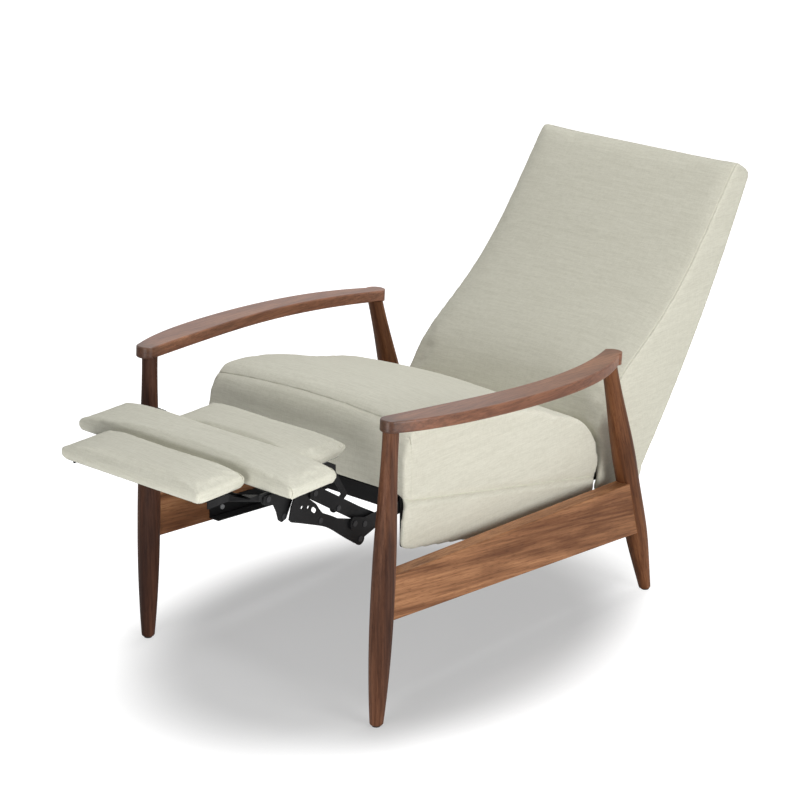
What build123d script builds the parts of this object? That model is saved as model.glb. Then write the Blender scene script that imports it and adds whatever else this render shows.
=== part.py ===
"""Push-back reclining armchair: walnut frame, upholstered seat and back, three-pad leg rest.

Millimetres, +Z up, the front faces -Y. It is drawn as it stands fully opened: seat slid
forward, back reclined, leg rest out. Nearly every piece is drawn in the side view, where a
place is given as its depth behind the front feet and its height above the floor.
"""
import os
from math import atan2, cos, degrees, hypot, radians, sin, sqrt, tan

from build123d import *

os.makedirs("parts", exist_ok=True)

# Datum: the front feet stand this far in front of the middle of the opened chair
front_foot_y = -451.2
overrun = 60.0          # how far a cut runs past what it cuts
fit = 0.3               # gap between pieces that are set against each other
pin_clearance = 0.08    # radial running clearance of a rivet in its hole
halfway_share = 0.5

# Arms: flat boards, bowed in plan, tilted down to the rear
arm_thickness = 23.0
arm_top_height = 601.0          # top face above the front feet
arm_tilt = 4.05                 # degrees
arm_nose_depth = 9.0
arm_tail_overhang = 25.0        # past the rear leg's axis
arm_nose_x = 306.0              # middle of the nose
arm_bow = 84.0                  # how far the outer edge swells beyond the nose's middle
arm_waist = 28.5                # how far the inner edge swells beyond the nose's middle
# Edges as shares of the arm's length and of their swell
arm_outer_shares = (
    (0.023, 0.286), (0.1, 0.532), (0.3, 0.876), (0.5, 1.0),
    (0.7, 0.927), (0.8, 0.781), (0.9, 0.515), (0.967, 0.262),
)
arm_inner_shares = (
    (0.03, -0.56), (0.1, -0.288), (0.3, 0.435), (0.5, 0.94),
    (0.6, 0.993), (0.7, 0.863), (0.8, 0.523), (0.9, -0.056), (0.974, -0.667),
)
arm_edge_round = 3.0

# Front legs: turned, raked forward and a little out
front_leg_foot_x = 300.0
front_leg_top_x = 306.5
front_leg_foot_depth = -3.0
front_leg_top_depth = 32.0
front_leg_top_height = 575.0    # where the axis meets the arm
front_leg_foot_diameter = 25.0
front_leg_swell_diameter = 44.5
front_leg_top_diameter = 30.5

# Rear legs: turned, raked backward
rear_leg_x = 304.0
rear_leg_foot_depth = 830.0
rear_leg_rake = 15.4            # degrees from vertical
rear_leg_foot_diameter = 23.0
rear_leg_swell_diameter = 47.5
rear_leg_top_diameter = 31.0

# Shares of a leg's length where its turned outline is given, and of its swell there
leg_length_shares = (0.15, 0.23, 0.5, 0.57, 0.84)
front_leg_swell_shares = (0.83, 0.92, 1.0, 0.98, 0.74)
rear_leg_swell_shares = (0.79, 0.93, 0.98, 1.0, 0.75)
leg_toe_round = 4.0
glide_diameter = 16.0
glide_thickness = 3.0

# Side rails and rear rail
rail_thickness = 32.0
rail_middle_x = 305.0
rail_top_height = 298.5         # at the front feet
rail_top_fall = 0.049           # fall per unit of depth
rail_bottom_height = 212.0
rail_bottom_fall = 0.0862
rail_edge_round = 2.0
rear_rail_setback = 106.0       # its front face, in front of the rear feet
rear_rail_thickness = 24.0
rear_rail_height = 44.0
rear_rail_lift = 6.0            # above the side rails' lower edge

# Dowels that hold the wooden frame together
dowel_diameter = 12.0
dowel_reach = 14.0              # into each of the two pieces
rear_rail_dowel_reach = 9.5
arm_dowel_reach = 14.0
rail_dowel_spread = 40.0
rear_rail_dowel_spread = 22.0

# Steel base under the seat
base_rail_front_depth = 165.0
base_rail_rear_setback = 110.0  # in front of the rear feet
base_rail_height = 36.0
base_rail_flange = 25.0
base_rail_steel = 3.0
base_rail_lift = 6.0            # above the side rail's lower edge
base_screw_diameter = 5.0
base_screw_length = 20.0
base_screw_head_diameter = 10.0
base_screw_head = 2.4
base_screw_shares = (0.06, 0.35, 0.56, 0.86)
cross_tube_diameter = 19.0
cross_tube_wall = 2.0
front_tube_from_hinge = -70.0   # depths measured from the back's hinge
rear_tube_from_hinge = 105.0

# Steel links lie in layers that start at the seat's side plate and step inwards
plate_outer_x = 240.0
link_steel = 3.0
layer_pitch = 4.5
rivet_diameter = 8.0
rivet_head_diameter = 11.0
plate_collar_diameter = 14.0
rivet_head = 1.2
rivet_head_gap = 0.15

# Rockers that carry the seat
rocker_width = 22.0
front_stand_from_hinge = (-75.0, -78.0)
front_seat_pin_from_hinge = (-117.0, -32.0)
rear_stand_from_hinge = (105.87, -98.8)
rear_seat_pin_from_hinge = (50.0, -68.0)
stand_collar = 4.0              # steel round a cross tube

# Seat
seat_half_width = 255.0
hinge_setback = 235.0           # the back's hinge, in front of the rear feet
hinge_height = 300.0            # the hinge is the middle of the seat's round tail
seat_length = 465.0             # from the front face to the hinge
seat_tilt = 12.0                # degrees down to the rear, of the cushion's underside
seat_deck_rise = 153.0          # underside at the front face, above the hinge
seat_tail_radius = 130.0
seat_tail_top_angle = 42.0      # where the round tail starts above the hinge
seat_crest_rise = 98.0          # highest line of the crest, above the underside's front end
seat_crest_setback = 60.0       # where the rolled front edge meets the crest
seat_roll_height = 96.0         # of the rolled front edge
seat_crown = 18.0
# Crest from the rolled edge to the tail, as shares of that length and drop
seat_crest_shares = (
    (0.15, 0.045), (0.285, 0.128), (0.42, 0.235), (0.58, 0.36), (0.72, 0.505), (0.825, 0.675),
)
# Rolled edge: shares of its setback and height where its seam lies
front_seam_share = (0.52, 0.877)
front_seam_lean_share = 0.62
fascia_height = 53.0            # below the cushion's underside
fascia_thickness = 20.0
seam_width = 1.6
seam_depth = 1.2
side_seam_drop = 62.0           # seam on the sides, below the cushion's underside

# Side panels under the cushion
side_panel_thickness = 15.0
side_panel_setback = 7.0        # behind the seat's front face
side_panel_lean = 10.0          # its lower front corner stands this much further forward
side_panel_front_drop = 153.0   # below the cushion's underside
side_panel_bottom_drop = 161.0
side_panel_bottom_fall = 0.2
side_panel_corner = 10.0
side_panel_edge_round = 4.0
side_panel_tail_angle = -60.0

# Seat frame of beech rails, webbing, dust cover
frame_rail_height = 27.0
frame_rail_width = 20.0
frame_setback = 29.0            # behind the seat's front face
frame_past_hinge = 45.0
webbing_width = 50.0
webbing_thickness = 1.8
webbing_reach = 12.0            # over each rail
seat_webbing_count = 5
dust_cover_thickness = 1.0
dust_cover_inset = 15.0

# Seat side plates and the cross rail between them
plate_setback = 21.0            # behind the seat's front face
plate_nose_setback = 6.0        # of the part below the fascia
plate_nose_drop = 157.0         # below the cushion's underside
plate_corner_round = 6.0
plate_waist_from_hinge = (-265.0, -46.0)
plate_tail_from_hinge = (89.0, -82.0)
plate_top_drop = 4.0            # below the cushion's underside
cross_rail_from_hinge = -238.0
cross_rail_drop = 17.0          # its top face below the hinge
cross_rail_height = 36.0
cross_rail_flange = 20.0
cross_rail_steel = 3.0
plate_screw_diameter = 5.0
plate_screw_length = 18.0
plate_screw_shares = (0.08, 0.36, 0.64, 0.92)

# Back, drawn along the chord of its rear face
back_half_width = 257.0
back_side_thickness = 12.0
back_foot_from_hinge = (272.0, -73.0)   # lower end of the rear face
back_head_from_hinge = (637.0, 496.0)   # upper end of the rear face
back_depth = 203.0              # thickness at the foot
back_bow = 20.0                 # how far the rear face bows out
back_crown = 10.0
back_side_round = 8.0
back_top_round = 15.0
back_hinge_clearance = 3.0
# Front face: shares of the chord's length and of the depth
back_front_shares = (
    (0.106, 0.975), (0.18, 0.953), (0.278, 0.846), (0.43, 0.625), (0.593, 0.464),
    (0.841, 0.351), (0.94, 0.322),
)
back_crown_shares = (0.25, 0.45, 0.75, 1.0, 1.0, 0.6, 0.3)
back_top_shares = ((0.94, 0.322), (0.9975, 0.305), (1.0, 0.0))
back_top_end_share = 0.94
back_foot_start_share = 0.02
back_upper_angle = 27.5         # degrees about the hinge where the front face starts
back_lower_angle = -25.0
back_heel_from_hinge = (267.0, -79.0)
chamber_top_from_hinge = (140.0, -18.0)
chamber_end_from_hinge = (267.0, 2.0)
outside_panel_thickness = 9.0
outside_panel_shares = (0.02, 0.95)
back_frame_depth = 30.0
back_frame_shares = (0.05, 0.945)
back_stile_width = 38.0
back_rail_shares = ((0.05, 0.13), (0.46, 0.54), (0.87, 0.945))
back_webbing_shares = (0.2, 0.29, 0.38, 0.62, 0.71, 0.8)
back_bracket_bend_from_hinge = (140.0, -38.0)
back_bracket_width = 26.0
back_bracket_eye = 32.0
back_bracket_share = 0.22

# Leg rest: two pins on each seat plate, two on each ottoman bracket, links between them
front_plate_pin_setback = 41.8  # behind the seat's front face
front_plate_pin_drop = 24.4     # below the fascia
# The other pins, measured from the front pin on the plate
rear_plate_pin_from_pin = (35.9, 16.6)
rear_bracket_pin_from_pin = (-253.6, 91.4)
front_bracket_pin_from_pin = (-301.2, 108.1)
flip_pin_from_pin = (-370.8, 114.4)     # hinge of the outer pad
swing_link_length = 181.74
curved_link_length = 213.85
carrier_link_length = 131.60
lift_link_length = 154.35
cross_pin_run = 26.3            # the links cross this far beyond the carrier link's lift pin
cross_pin_rise = 9.2
swing_link_width = 22.0
carrier_link_width = 24.0
curved_link_width = 18.0
curved_link_eye = 24.0          # round its low knee
# Its deep blade, as shares of the line from its low knee to its far pin
blade_edge_shares = (
    (0.02, -0.055), (0.118, -0.067), (0.299, -0.079), (0.493, -0.1), (0.625, -0.14),
    (0.787, -0.195), (0.918, -0.242),
)
blade_toe_shares = ((0.955, -0.238), (1.003, -0.14), (1.028, -0.03))
blade_top_shares = (
    (0.97, 0.03), (0.84, 0.012), (0.735, 0.012), (0.66, -0.008), (0.607, -0.016), (0.492, 0.01),
    (0.385, 0.028), (0.21, 0.1),
)
blade_stud_share = (0.588, -0.081)
lift_link_width = 27.0
lift_eye = 22.0
lift_bend_from_pin = (-141.8, 18.4)     # from the front pin
lift_tail_from_pin = (-87.8, -13.6)
# Two round holes and a slot through the blade, on the same line
blade_hole_shares = ((0.88, -0.086), (0.808, -0.052))
blade_hole_diameter = 7.0
blade_slot_share = (0.724, -0.042)
blade_slot_length = 17.0
blade_slot_width = 9.0
cross_collar_diameter = 10.0

# Pads, named from the seat outwards
pad_board = 6.0
pad_board_inset = 5.0
pad_corner_round = 5.0
pad_crown = 5.0
pad_shoulder_round = 9.0
pad_lift = 1.5                  # crest of the section along the depth, above the other one
inner_pad_half_width = 175.0
inner_pad_from_pin = (-231.8, -119.8)   # depths of its edges, from the plate's front pin
inner_pad_rise = 110.4                  # of its underside above that pin
inner_pad_thickness = 23.0
middle_pad_half_width = 272.0
middle_pad_from_pin = (-364.8, -242.8)
middle_pad_rise = 121.4
middle_pad_thickness = 32.0
outer_pad_half_width = 176.0
outer_pad_from_pin = (-496.8, -378.8)
outer_pad_rise = 126.4
outer_pad_thickness = 35.0

# Brackets under the pads
ottoman_bracket_width = 24.0
ottoman_flange_width = 35.0
ottoman_flange_from_pin = (-356.8, -253.8)
# Its plate hangs below the line from the flip pin to the rear pin, as shares of that line
ottoman_toe_shares = ((0.06, 0.0), (0.221, 0.213), (0.293, 0.355), (0.36, 0.39), (0.45, 0.345), (0.56, 0.0))
toe_stud_share = (0.395, 0.305)
outer_arm_height = 14.0
outer_arm_end_from_pin = -469.8
pad_flange_inner_x = 130.0
outer_flange_from_pin = (-467.8, -407.8)
inner_arm_width = 12.0
inner_arm_eye = 22.0
inner_flange_from_pin = (-228.0, -189.0)
inner_upstand = 26.0
inner_upstand_cut = 11.0        # how far its rear corner is cut down
inner_arm_elbow_from_pin = (-165.5, 61.0)


side = Plane(origin=(0, front_foot_y, 0), x_dir=(0, 1, 0), z_dir=(1, 0, 0))
pin_hole = rivet_diameter / 2 + pin_clearance


def write(piece, node):
    """Label a finished piece and write its file."""
    piece.part.label = node
    export_step(piece.part, f"parts/{node}.step")


def write_pair(piece, node):
    """Write the piece of the +X side and its mirror image."""
    write(piece, f"{node}_left")
    with BuildPart() as other:
        mirror(piece.part, about=Plane.YZ)
    write(other, f"{node}_right")


def beside(place, run):
    """Place at a run and a rise from another one."""
    return (place[0] + run[0], place[1] + run[1])


def spread(depth, runs):
    """Depths measured from another depth."""
    return (depth + runs[0], depth + runs[1])


def between(start, end, share):
    """Place on the line between two places, at a share of its length."""
    return (start[0] + (end[0] - start[0]) * share, start[1] + (end[1] - start[1]) * share)


def beyond(start, end, run, rise):
    """Place a run past the end of a line and a rise to one side of it."""
    length = hypot(end[0] - start[0], end[1] - start[1])
    step = ((end[0] - start[0]) / length, (end[1] - start[1]) / length)
    return (end[0] + step[0] * run + step[1] * rise, end[1] + step[1] * run - step[0] * rise)


def around(centre, radius, angle):
    """Place at a radius and an angle from a centre."""
    return (centre[0] + radius * cos(radians(angle)), centre[1] + radius * sin(radians(angle)))


def knee(start, end, first, second):
    """Knee of two links of these lengths, on the low side of the line between their ends."""
    span = hypot(end[0] - start[0], end[1] - start[1])
    run = (first**2 - second**2 + span**2) / (2 * span)
    drop = sqrt(first**2 - run**2)
    step = ((end[0] - start[0]) / span, (end[1] - start[1]) / span)
    return (start[0] + step[0] * run - step[1] * drop, start[1] + step[1] * run + step[0] * drop)


def layer(number):
    """Inner face of a steel layer, counted inwards from the seat's side plate."""
    return plate_outer_x - link_steel - number * layer_pitch


def pin(place, inner_x, outer_x, diameter):
    """Round bar along X through a place of the side view."""
    with BuildPart() as bar:
        with BuildSketch(side.offset(inner_x)):
            with Locations(place):
                Circle(diameter / 2)
        extrude(amount=outer_x - inner_x)
    return bar.part


def peg(centre, direction, reach, diameter):
    """Dowel centred on a point in space, reaching the same length to both sides."""
    with BuildPart() as dowel:
        with BuildSketch(Plane(origin=centre, z_dir=direction)):
            Circle(diameter / 2)
        extrude(amount=reach, both=True)
    return dowel.part


def strip(inner_x, outer_x, places):
    """Flat piece across X whose side view is a polygon."""
    with BuildPart() as flat:
        with BuildSketch(side.offset(inner_x)):
            with BuildLine():
                Polyline(*places, close=True)
            make_face()
        extrude(amount=outer_x - inner_x)
    return flat.part


def board(plane, span, run, thickness):
    """Rectangular board standing on a plane, between two places across it and two along it."""
    with BuildPart() as flat:
        with BuildSketch(plane):
            with Locations(between(*zip(span, run), halfway_share)):
                Rectangle(span[1] - span[0], run[1] - run[0])
        extrude(amount=thickness)
    return flat.part


def link(number, places, width, holes):
    """Flat steel link in a layer, with straight runs between places and holes for its rivets."""
    with BuildPart() as flat:
        with BuildSketch(side.offset(layer(number))):
            for start, end in zip(places, places[1:]):
                turn = degrees(atan2(end[1] - start[1], end[0] - start[0]))
                with Locations(between(start, end, halfway_share)):
                    SlotCenterToCenter(hypot(end[0] - start[0], end[1] - start[1]), width, turn)
            for hole in holes:
                with Locations(hole):
                    Circle(pin_hole, mode=Mode.SUBTRACT)
        extrude(amount=link_steel)
    return flat.part


def rivet(place, outer_layer, inner_layer, outer_head=True, inner_head=True, collar=0):
    """Rivet through two layers, with heads in the gaps beside them and a collar between them."""
    outer_x = layer(outer_layer) + link_steel
    inner_x = layer(inner_layer)
    shank_outer_x = outer_x + (rivet_head_gap if outer_head else 0)
    shank_inner_x = inner_x - (rivet_head_gap if inner_head else 0)
    with BuildPart() as pinned:
        add(pin(place, shank_inner_x, shank_outer_x, rivet_diameter))
        if outer_head:
            add(pin(place, shank_outer_x, shank_outer_x + rivet_head, rivet_head_diameter))
        if inner_head:
            add(pin(place, shank_inner_x - rivet_head, shank_inner_x, rivet_head_diameter))
        if collar:
            low_x = inner_x + link_steel + rivet_head_gap
            high_x = outer_x - link_steel - rivet_head_gap
            add(pin(place, low_x, high_x, collar))
    return pinned.part


def both_sides(parts):
    """Group of separate solids of the +X side, with their mirror images."""
    with BuildPart() as group:
        for part in parts:
            add(part)
        mirror(group.part, about=Plane.YZ)
    return group


def arm_top(depth):
    return arm_top_height - depth * tan(radians(arm_tilt))


def rail_top(depth):
    return rail_top_height - depth * rail_top_fall


def rail_bottom(depth):
    return rail_bottom_height - depth * rail_bottom_fall


# Places in the side view, from the rear feet to the leg rest
hinge_pin = (rear_leg_foot_depth - hinge_setback, hinge_height)
seat_front_depth = hinge_pin[0] - seat_length
deck_height = hinge_height + seat_deck_rise
fascia_bottom_height = deck_height - fascia_height
crest_height = deck_height + seat_crest_rise
rear_rail_depth = rear_leg_foot_depth - rear_rail_setback
base_rail_rear_depth = rear_leg_foot_depth - base_rail_rear_setback
front_tube_depth = hinge_pin[0] + front_tube_from_hinge
rear_tube_depth = hinge_pin[0] + rear_tube_from_hinge
front_stand_pin = beside(hinge_pin, front_stand_from_hinge)
front_seat_pin = beside(hinge_pin, front_seat_pin_from_hinge)
rear_stand_pin = beside(hinge_pin, rear_stand_from_hinge)
rear_seat_pin = beside(hinge_pin, rear_seat_pin_from_hinge)
frame_front_depth = seat_front_depth + frame_setback
frame_rear_depth = hinge_pin[0] + frame_past_hinge
back_foot = beside(hinge_pin, back_foot_from_hinge)
back_head = beside(hinge_pin, back_head_from_hinge)
back_heel = beside(hinge_pin, back_heel_from_hinge)
chamber_top = beside(hinge_pin, chamber_top_from_hinge)
chamber_end = beside(hinge_pin, chamber_end_from_hinge)
back_bracket_bend = beside(hinge_pin, back_bracket_bend_from_hinge)
front_plate_pin = (seat_front_depth + front_plate_pin_setback, fascia_bottom_height - front_plate_pin_drop)
rear_plate_pin = beside(front_plate_pin, rear_plate_pin_from_pin)
rear_bracket_pin = beside(front_plate_pin, rear_bracket_pin_from_pin)
front_bracket_pin = beside(front_plate_pin, front_bracket_pin_from_pin)
flip_pin = beside(front_plate_pin, flip_pin_from_pin)
inner_pad_depths = spread(front_plate_pin[0], inner_pad_from_pin)
middle_pad_depths = spread(front_plate_pin[0], middle_pad_from_pin)
outer_pad_depths = spread(front_plate_pin[0], outer_pad_from_pin)
inner_pad_under = front_plate_pin[1] + inner_pad_rise
middle_pad_under = front_plate_pin[1] + middle_pad_rise
outer_pad_under = front_plate_pin[1] + outer_pad_rise
ottoman_flange_depths = spread(front_plate_pin[0], ottoman_flange_from_pin)
outer_flange_depths = spread(front_plate_pin[0], outer_flange_from_pin)
inner_flange_depths = spread(front_plate_pin[0], inner_flange_from_pin)
outer_arm_end_depth = front_plate_pin[0] + outer_arm_end_from_pin
inner_arm_elbow = beside(front_plate_pin, inner_arm_elbow_from_pin)

# Wooden frame
arm_plane = Plane(
    origin=(0, front_foot_y, arm_top_height),
    x_dir=(1, 0, 0),
    z_dir=(0, sin(radians(arm_tilt)), cos(radians(arm_tilt))),
)


def arm_place(share, x):
    """Place on the arm board, at a share of its length from the nose."""
    return (x, (arm_nose_depth + arm_length * share) / cos(radians(arm_tilt)))


# Dowels first, so that every piece they enter is bored for them
front_foot = Vector(front_leg_foot_x, front_foot_y + front_leg_foot_depth, 0)
front_top = Vector(front_leg_top_x, front_foot_y + front_leg_top_depth, front_leg_top_height)
rear_run = tan(radians(rear_leg_rake))
rear_top_height = (arm_top(rear_leg_foot_depth) - arm_thickness) / (
    1 - rear_run * tan(radians(arm_tilt))
)
rear_foot = Vector(rear_leg_x, front_foot_y + rear_leg_foot_depth, 0)
rear_top = rear_foot + Vector(0, -rear_top_height * rear_run, rear_top_height)
arm_length = rear_top.Y - front_foot_y + arm_tail_overhang - arm_nose_depth
front_arm_dowel = peg(front_top, front_top - front_foot, arm_dowel_reach, dowel_diameter)
rear_arm_dowel = peg(rear_top, rear_top - rear_foot, arm_dowel_reach, dowel_diameter)


def leg_depth(foot, top, height):
    """Depth of a leg's axis at a height."""
    return (foot.Y + (top.Y - foot.Y) * height / top.Z) - front_foot_y


rail_dowels = []
for foot, top, swell, way in (
    (front_foot, front_top, front_leg_swell_diameter, 1),
    (rear_foot, rear_top, rear_leg_swell_diameter, -1),
):
    middle = between(
        (rail_bottom(leg_depth(foot, top, rail_bottom_height)), 0),
        (rail_top(leg_depth(foot, top, rail_top_height)), 0),
        halfway_share,
    )[0]
    for lift in (-rail_dowel_spread / 2, rail_dowel_spread / 2):
        depth = leg_depth(foot, top, middle + lift) + way * swell / 2
        seat_of_dowel = (rail_middle_x, front_foot_y + depth, middle + lift)
        rail_dowels.append(peg(seat_of_dowel, (0, 1, 0), dowel_reach, dowel_diameter))
rear_rail_bottom = rail_bottom(rear_rail_depth) + rear_rail_lift
rear_rail_dowels = []
for lift in (-rear_rail_dowel_spread / 2, rear_rail_dowel_spread / 2):
    butt = (
        rail_middle_x - rail_thickness / 2,
        front_foot_y + rear_rail_depth + rear_rail_thickness / 2,
        rear_rail_bottom + rear_rail_height / 2 + lift,
    )
    rear_rail_dowels.append(peg(butt, (1, 0, 0), rear_rail_dowel_reach, dowel_diameter))

write(both_sides([front_arm_dowel, rear_arm_dowel]), "arm_dowels")
write(both_sides(rail_dowels + rear_rail_dowels), "rail_dowels")

with BuildPart() as arm:
    with BuildSketch(arm_plane):
        with BuildLine():
            outer_edge = Spline(
                *[arm_place(share, arm_nose_x + arm_bow * swell) for share, swell in arm_outer_shares]
            )
            inner_edge = Spline(
                *[arm_place(share, arm_nose_x + arm_waist * swell) for share, swell in arm_inner_shares]
            )
            ThreePointArc(inner_edge @ 0, arm_place(0, arm_nose_x), outer_edge @ 0)
            ThreePointArc(outer_edge @ 1, arm_place(1, arm_nose_x), inner_edge @ 1)
        make_face()
    extrude(amount=-arm_thickness)
    fillet(arm.edges().filter_by(GeomType.BSPLINE), arm_edge_round)
    add(front_arm_dowel, mode=Mode.SUBTRACT)
    add(rear_arm_dowel, mode=Mode.SUBTRACT)
write_pair(arm, "arm")


def turned_leg(foot, top, foot_diameter, swell_diameter, top_diameter, swell_shares, dowels):
    """Leg turned about the line from foot to top, cut off level with the floor and the arm."""
    axis = top - foot
    length = axis.length
    across = axis.cross(Vector(0, 1, 0))
    with BuildPart() as leg:
        with BuildSketch(Plane(origin=foot, x_dir=across, z_dir=across.cross(axis))):
            with BuildLine():
                outline = Spline(
                    (foot_diameter / 2, 0),
                    *[
                        (swell_diameter / 2 * width, length * share)
                        for share, width in zip(leg_length_shares, swell_shares)
                    ],
                    (top_diameter / 2, length),
                )
                Polyline(
                    outline @ 1,
                    (top_diameter / 2, length + overrun),
                    (0, length + overrun),
                    (0, -overrun),
                    (foot_diameter / 2, -overrun),
                    outline @ 0,
                )
            make_face()
        revolve(axis=Axis(foot, axis))
        split(bisect_by=Plane.XY.offset(glide_thickness), keep=Keep.TOP)
        split(bisect_by=arm_plane.offset(-arm_thickness), keep=Keep.BOTTOM)
        fillet(leg.faces().sort_by(Axis.Z)[0].edges(), leg_toe_round)
        for dowel in dowels:
            add(dowel, mode=Mode.SUBTRACT)
    return leg


front_leg = turned_leg(
    front_foot,
    front_top,
    front_leg_foot_diameter,
    front_leg_swell_diameter,
    front_leg_top_diameter,
    front_leg_swell_shares,
    [front_arm_dowel] + rail_dowels,
)
rear_leg = turned_leg(
    rear_foot,
    rear_top,
    rear_leg_foot_diameter,
    rear_leg_swell_diameter,
    rear_leg_top_diameter,
    rear_leg_swell_shares,
    [rear_arm_dowel] + rail_dowels,
)
write_pair(front_leg, "front_leg")
write_pair(rear_leg, "rear_leg")

with BuildPart() as glides:
    for foot in (front_foot, rear_foot):
        with BuildSketch():
            with Locations((foot.X, foot.Y), (-foot.X, foot.Y)):
                Circle(glide_diameter / 2)
        extrude(amount=glide_thickness)
write(glides, "foot_glides")

# Steel angle that is screwed to the inside of each side rail
rail_inner_x = rail_middle_x - rail_thickness / 2
screws = []
for share in base_screw_shares:
    depth = base_rail_front_depth + (base_rail_rear_depth - base_rail_front_depth) * share
    place = (depth, rail_bottom(depth) + base_rail_lift + base_rail_height / 2)
    shank_x = rail_inner_x - base_rail_steel
    screws.append(pin(place, shank_x, shank_x + base_screw_length, base_screw_diameter))
    screws.append(pin(place, shank_x - base_screw_head, shank_x, base_screw_head_diameter))
write(both_sides(screws), "base_screws")

with BuildPart() as side_rail:
    front_low = leg_depth(front_foot, front_top, rail_bottom_height)
    front_high = leg_depth(front_foot, front_top, rail_top_height)
    rear_low_height = rail_bottom(rear_leg_foot_depth)
    rear_high_height = rail_top(rear_leg_foot_depth)
    rear_low = leg_depth(rear_foot, rear_top, rear_low_height)
    rear_high = leg_depth(rear_foot, rear_top, rear_high_height)
    add(
        strip(
            rail_inner_x,
            rail_inner_x + rail_thickness,
            [
                (front_low, rail_bottom(front_low)),
                (rear_low, rail_bottom(rear_low)),
                (rear_high, rail_top(rear_high)),
                (front_high, rail_top(front_high)),
            ],
        )
    )
    fillet(side_rail.edges().filter_by(Axis.X, reverse=True).filter_by(
        lambda edge: edge.length > 2 * (rail_top_height - rail_bottom_height)), rail_edge_round)
    add(front_leg.part, mode=Mode.SUBTRACT)
    add(rear_leg.part, mode=Mode.SUBTRACT)
    for part in rail_dowels + rear_rail_dowels + screws:
        add(part, mode=Mode.SUBTRACT)
write_pair(side_rail, "side_rail")

with BuildPart() as rear_rail:
    add(
        strip(
            -rail_inner_x,
            rail_inner_x,
            [
                (rear_rail_depth, rear_rail_bottom),
                (rear_rail_depth + rear_rail_thickness, rear_rail_bottom),
                (rear_rail_depth + rear_rail_thickness, rear_rail_bottom + rear_rail_height),
                (rear_rail_depth, rear_rail_bottom + rear_rail_height),
            ],
        )
    )
    fillet(rear_rail.edges().filter_by(Axis.X), rail_edge_round)
    for part in rear_rail_dowels:
        add(part, mode=Mode.SUBTRACT)
        add(part.mirror(Plane.YZ), mode=Mode.SUBTRACT)
write(rear_rail, "rear_rail")


# Steel base
def base_line(depth, lift):
    """Place above the lower edge of the base rail."""
    return (depth, rail_bottom(depth) + base_rail_lift + lift)


def base_strip(inner_x, outer_x, height):
    return strip(
        inner_x,
        outer_x,
        [
            base_line(base_rail_front_depth, 0),
            base_line(base_rail_rear_depth, 0),
            base_line(base_rail_rear_depth, height),
            base_line(base_rail_front_depth, height),
        ],
    )


with BuildPart() as base_rail:
    add(base_strip(rail_inner_x - base_rail_steel, rail_inner_x, base_rail_height))
    add(base_strip(rail_inner_x - base_rail_flange, rail_inner_x, base_rail_steel))
    for part in screws:
        add(part, mode=Mode.SUBTRACT)
write_pair(base_rail, "base_rail")

tube_half_length = rail_inner_x - base_rail_steel
tube_lift = base_rail_steel + cross_tube_diameter / 2 + pin_clearance
front_tube_place = base_line(front_tube_depth, tube_lift)
rear_tube_place = base_line(rear_tube_depth, tube_lift)
for node, place in (("front_cross_tube", front_tube_place), ("rear_cross_tube", rear_tube_place)):
    with BuildPart() as cross_tube:
        with BuildSketch(side.offset(-tube_half_length)):
            with Locations(place):
                Circle(cross_tube_diameter / 2)
                Circle(cross_tube_diameter / 2 - cross_tube_wall, mode=Mode.SUBTRACT)
        extrude(amount=2 * tube_half_length)
    write(cross_tube, node)

stands = []
for pivot, tube in ((front_stand_pin, front_tube_place), (rear_stand_pin, rear_tube_place)):
    with BuildPart() as stand:
        with BuildSketch(side.offset(layer(2))):
            with Locations(pivot):
                Circle(rocker_width / 2)
            with Locations(tube):
                Circle(cross_tube_diameter / 2 + stand_collar)
            make_hull()
            with Locations(pivot):
                Circle(pin_hole, mode=Mode.SUBTRACT)
            with Locations(tube):
                Circle(cross_tube_diameter / 2, mode=Mode.SUBTRACT)
        extrude(amount=link_steel)
    stands.append(stand.part)
write(both_sides(stands), "rocker_stands")
stand_rivets = [rivet(front_stand_pin, 1, 2), rivet(rear_stand_pin, 1, 2)]
write(both_sides(stand_rivets), "stand_rivets")

# Rockers
front_rocker = link(1, [front_stand_pin, front_seat_pin], rocker_width, [front_stand_pin, front_seat_pin])
write(both_sides([front_rocker]), "front_rockers")
rear_rocker = link(1, [rear_stand_pin, rear_seat_pin], rocker_width, [rear_stand_pin, rear_seat_pin])
write(both_sides([rear_rocker, rivet(rear_seat_pin, 1, 1, outer_head=False)]), "rear_rockers")


# Seat
seat_cos = cos(radians(seat_tilt))
seat_sin = sin(radians(seat_tilt))
seat_fall = tan(radians(seat_tilt))


def seat_line(depth, drop):
    """Place below the cushion's underside, the drop measured upright."""
    return (depth, deck_height - (depth - seat_front_depth) * seat_fall - drop)


seat_plane = Plane(
    origin=(0, front_foot_y + seat_front_depth, deck_height),
    x_dir=(1, 0, 0),
    z_dir=(0, seat_sin, seat_cos),
)


def seat_run(depth):
    """Run along the seat's slope from its front face."""
    return (depth - seat_front_depth) / seat_cos


tail_start = around(hinge_pin, seat_tail_radius, seat_tail_top_angle)
underside_gap = (hinge_pin[1] - seat_line(hinge_pin[0], 0)[1]) * seat_cos
tail_low_angle = degrees(atan2(-underside_gap, sqrt(seat_tail_radius**2 - underside_gap**2))) - seat_tilt
tail_end = around(hinge_pin, seat_tail_radius, tail_low_angle)
tail_middle = around(hinge_pin, seat_tail_radius, (tail_low_angle + seat_tail_top_angle) / 2)
tail_slope = (sin(radians(seat_tail_top_angle)), -cos(radians(seat_tail_top_angle)))


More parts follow.
